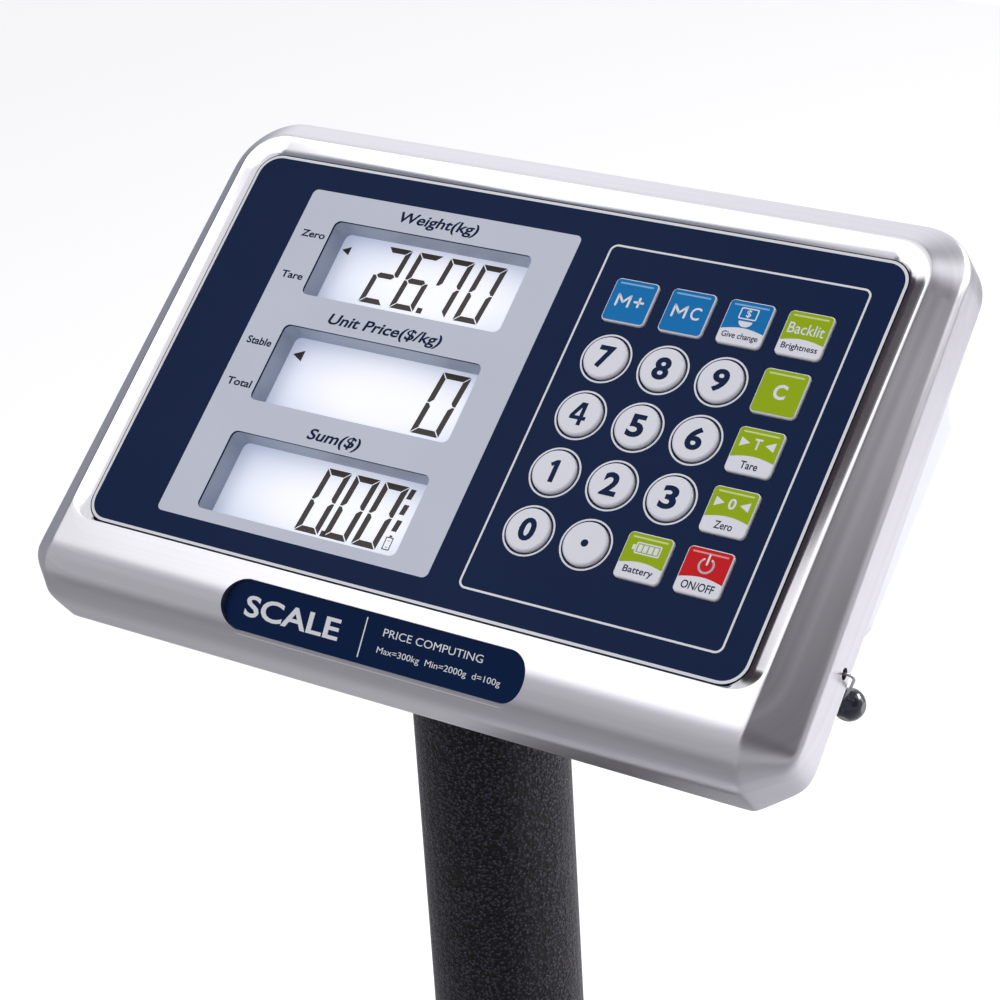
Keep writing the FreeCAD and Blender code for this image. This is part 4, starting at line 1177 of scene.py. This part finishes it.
def squareMarks():
    z = keys["squareTop"] + 0.05
    low, high = z - inkLayer["under"], z + inkLayer["plate"]
    at = {name: keyCentre(column, row) for name, (_, column, row, _) in squareKeys.items()}
    marks = {}

    cx, cy = at["memory_add"]
    cross = [((cx + 1.5, cy + 0.1), (cx + 4.3, cy + 0.1)), ((cx + 2.9, cy - 1.3), (cx + 2.9, cy + 1.5))]
    marks["memory_add"] = strokes(letterM(cx - 4.3, cy - 1.8) + cross, 0.72, z)
    cx, cy = at["memory_clear"]
    marks["memory_clear"] = strokes(letterM(cx - 4.4, cy - 1.8), 0.72, z)
    marks["memory_clear"].append(lettering("C", cx + 2.9, cy, 3.2, 4.2, z, 0.012))
    cx, cy = at["clear"]
    marks["clear"] = [lettering("C", cx, cy + 0.2, 4.0, 4.8, z, 0.03)]

    cx, cy = at["give_change"]  # a note over an open hand
    note = ringPrism(roundedOutline(cx - 2.9, cx + 2.9, cy + 1.2, cy + 5.0, 0.5, 3),
                     roundedOutline(cx - 2.5, cx + 2.5, cy + 1.6, cy + 4.6, 0.3, 3), low, high)
    turns = [math.pi * (1 + i / 12) for i in range(13)]
    hand = plate([(cx + 2.2 * math.cos(turn), cy + 0.6 + 1.9 * math.sin(turn)) for turn in turns], z)
    marks["give_change"] = [note, hand, lettering("$", cx, cy + 3.1, 1.5, 2.7, z, 0.01)]

    cx, cy = at["backlight"]
    marks["backlight"] = [lettering("Backlit", cx, cy + 1.6, 11.4, 3.5, z, 0.004)]
    for name, text, width in (("tare", "T", 2.4), ("set_zero", "0", 2.3)):
        cx, cy = at[name]
        marks[name] = [plate([(cx + side * 5.4, cy + 0.8), (cx + side * 2.4, cy + 2.3),
                              (cx + side * 5.4, cy + 3.8)], z) for side in (-1, 1)]
        marks[name].append(lettering(text, cx, cy + 2.3, width, 3.4, z, 0.02))

    cx, cy = at["battery_state"]
    marks["battery_state"] = [
        ringPrism(roundedOutline(cx - 3.6, cx + 4.4, cy + 0.7, cy + 4.3, 0.4, 3),
                  roundedOutline(cx - 3.2, cx + 4.0, cy + 1.1, cy + 3.9, 0.2, 3), low, high),
        plate(rectangle(cx - 4.6, cx - 3.7, cy + 1.7, cy + 3.3), z)]
    for i in range(4):
        x = cx - 2.8 + i * 1.7
        marks["battery_state"].append(plate(rectangle(x, x + 1.3, cy + 1.4, cy + 3.6), z))

    cx, cy = at["on_off"]  # an open ring with a stem
    turns = [math.radians(125 + 290 * i / 25) for i in range(26)]
    ring = [(cx + 2.2 * math.cos(turn), cy + 2.0 + 2.2 * math.sin(turn)) for turn in turns]
    stem = [((cx, cy + 2.4), (cx, cy + 5.2))]
    marks["on_off"] = strokes(list(zip(ring, ring[1:])) + stem, 0.6, z)

    for name, parts in marks.items():
        addMesh("mark_" + name, merge(parts), headMatrix, look["white"], "key_" + name)
    for name, (text, width, height) in captions.items():
        cx, cy = at[name]
        shape = lettering(text, cx, cy - 4.5, width, height, keys["squareTop"] + 0.02, 0.012)
        addMesh("caption_" + name, shape, headMatrix, look["navy"], "key_" + name)


# the numeral one as an outline; the numeral four as outline corners, then its open counter
oneShape = [(1.0, -3.6), (1.0, 3.6), (-0.1, 3.6), (-1.9, 2.3), (-1.2, 1.3), (-0.55, 1.8), (-0.55, -3.6)]
fourShape = dict(
    points=[(1.55, 3.7), (-0.35, 3.7), (-2.75, -0.75), (-2.75, -1.95), (0.3, -1.95), (0.3, -3.7),
            (1.55, -3.7), (1.55, -1.95), (2.55, -1.95), (2.55, -0.75), (1.55, -0.75), (0.3, -0.75),
            (-1.35, -0.75), (0.3, 2.1)],
    faces=[(0, 1, 2, 12, 13), (0, 13, 11, 10), (2, 3, 4, 11, 12), (11, 4, 7, 10), (4, 5, 6, 7),
           (10, 7, 8, 9)],
    loops=[tuple(range(11)), (11, 13, 12)])
numeralSize = dict(width=5.3, height=7.4, bold=0.036, point=1.15)


def openPlate(points, tops, loops, z):
    # a closed plate with an opening, its faces given as corner numbers
    count = len(points)
    low, high = z - inkLayer["under"], z + inkLayer["plate"]
    verts = [(x, y, low) for x, y in points] + [(x, y, high) for x, y in points]
    faces = [tuple(count + i for i in face) for face in tops] + [face[::-1] for face in tops]
    for loop in loops:
        for i, j in zip(loop, loop[1:] + loop[:1]):
            faces.append((i, j, count + j, count + i))
    return verts, faces


def roundMarks():
    z = keys["roundTop"] + 0.02
    for name, text, column, row in numerals:
        cx, cy = keyCentre(column, row)
        if text == "1":
            shape = plate([(cx + a, cy + b) for a, b in oneShape], z)
        elif text == "4":
            points = [(cx + a, cy + b) for a, b in fourShape["points"]]
            shape = openPlate(points, fourShape["faces"], fourShape["loops"], z)
        else:
            shape = lettering(text, cx, cy, numeralSize["width"], numeralSize["height"], z, numeralSize["bold"])
        addMesh("mark_" + name, shape, headMatrix, look["navy"], "key_" + name)
    point = plate(circleOutline(*keyCentre(1, 4), numeralSize["point"], 32), z)
    addMesh("mark_point", point, headMatrix, look["navy"], "key_point")


for name in squareKeys:
    keyColour(name)
squareMarks()
roundMarks()
print("keys marked")

# badge
# each line: text, middle x and y, width, height, height over the plate, boldness
badgeLines = [("SCALE", -28.4, 0.0, 34.0, 6.4, 0.03, 0.02), ("PRICE COMPUTING", 20.3, 2.9, 34.0, 2.3, 0.03),
              ("Max=300kg  Min=2000g  d=100g", 23.6, -2.6, 42.0, 2.4, 0.03)]


def badgeText():
    parts = [lettering(*line) for line in badgeLines]
    parts.append(prism(rectangle(-3.4, -3.0, -5.9, 5.9), 0.0, 0.04))
    addMesh("badge_text", merge(parts), badgeMatrix, look["white"], "head")


badgeText()

# studio; each card: direction, inner and outer half angle, colour; each lamp: place, aim, width, height, power
studio = dict(
    floorHalf=3.0, floorTone=(0.42, 0.415, 0.43), floorShow=(0.5, 0.5, 0.5), exposure=0.2,
    skyLow=(0.53, 0.525, 0.55), skyHigh=(1.0, 1.0, 1.02), skyRange=(0.35, 0.8),
    cards=[((0.13, 0.555, 0.825), 7, 17, (0.05, 0.055, 0.09)),
           ((-0.9, 0.43, 0.0), 12, 26, (0.27, 0.29, 0.35)),
           ((-0.85, -0.03, 0.52), 14, 21, (0.05, 0.04, 0.05)),
           ((-0.53, -0.60, 0.60), 5, 9, (0.26, 0.28, 0.33)),
           ((0.76, -0.25, 0.60), 20, 40, (0.10, 0.088, 0.105)),
           ((0.16, -0.74, 0.65), 7, 17, (0.05, 0.045, 0.06)),
           ((-0.48, 0.77, 0.42), 14, 30, (1.05, 1.05, 1.1)),
           ((0.35, 0.75, 0.55), 8, 18, (0.12, 0.12, 0.14))])
lamps = dict(
    overhead=((-1.05, -0.38, 2.45), (0, 0.15, 0.76), 1.0, 0.86, 3.3),
    rear=((1.3, 1.6, 1.3), (0, 0.2, 0.6), 0.5, 1.5, 6.0),
    floorWash=((1.0, 1.5, 1.5), (1.0, 1.5, 0.0), 0.8, 0.8, 55.0))


def makeFloor():
    half = studio["floorHalf"]
    verts, faces = prism(rectangle(-half, half, -half, half), -0.02, -0.0005)
    mesh = bpy.data.meshes.new("floor")
    mesh.from_pydata(verts, [], faces)
    floor = bpy.data.objects.new("floor", mesh)
    bpy.context.scene.collection.objects.link(floor)
    material, tree, shader = newMaterial("paleFloor", Roughness=0.8, Specular_IOR_Level=0.1,
                                         Emission_Strength=1.0)
    path = tree.nodes.new("ShaderNodeLightPath")
    shown = mixColours(tree, path.outputs["Is Camera Ray"], (0.0, 0.0, 0.0), studio["floorShow"])
    tree.links.new(shown, shader.inputs["Emission Color"])
    shader.inputs["Base Color"].default_value = (*studio["floorTone"], 1.0)
    mesh.materials.append(material)


def makeWorld():
    # a pale room with a few soft darker and lighter cards for the metal to reflect
    world = bpy.data.worlds.new("studio")
    world.use_nodes = True
    tree = world.node_tree
    ray = tree.nodes.new("ShaderNodeTexCoord").outputs["Generated"]
    split = tree.nodes.new("ShaderNodeSeparateXYZ")
    tree.links.new(ray, split.inputs[0])
    height = rangeNode(tree, split.outputs["Z"], *studio["skyRange"])
    colour = mixColours(tree, height, studio["skyLow"], studio["skyHigh"])
    for direction, inner, outer, tone in studio["cards"]:
        along = vectorNode(tree, "DOT_PRODUCT", ray, Vector(direction).normalized())
        mask = rangeNode(tree, along, math.cos(math.radians(outer)), math.cos(math.radians(inner)), smooth=True)
        colour = mixColours(tree, mask, colour, tone)
    path = tree.nodes.new("ShaderNodeLightPath")
    seen = mixColours(tree, path.outputs["Is Camera Ray"], colour, (1.0, 1.0, 1.0))
    tree.links.new(seen, tree.nodes["Background"].inputs["Color"])
    bpy.context.scene.world = world


def makeLamps():
    for name, (place, aim, wide, tall, power) in lamps.items():
        data = bpy.data.lights.new(name, "AREA")
        data.shape = "RECTANGLE"
        data.size = wide
        data.size_y = tall
        data.energy = power
        lamp = bpy.data.objects.new(name, data)
        lamp.location = place
        lamp.rotation_euler = (Vector(aim) - Vector(place)).to_track_quat("-Z", "Y").to_euler()
        bpy.context.scene.collection.objects.link(lamp)


makeFloor()
makeWorld()
makeLamps()
bpy.context.scene.view_settings.view_transform = "Standard"
bpy.context.scene.view_settings.exposure = studio["exposure"]
print("studio set")
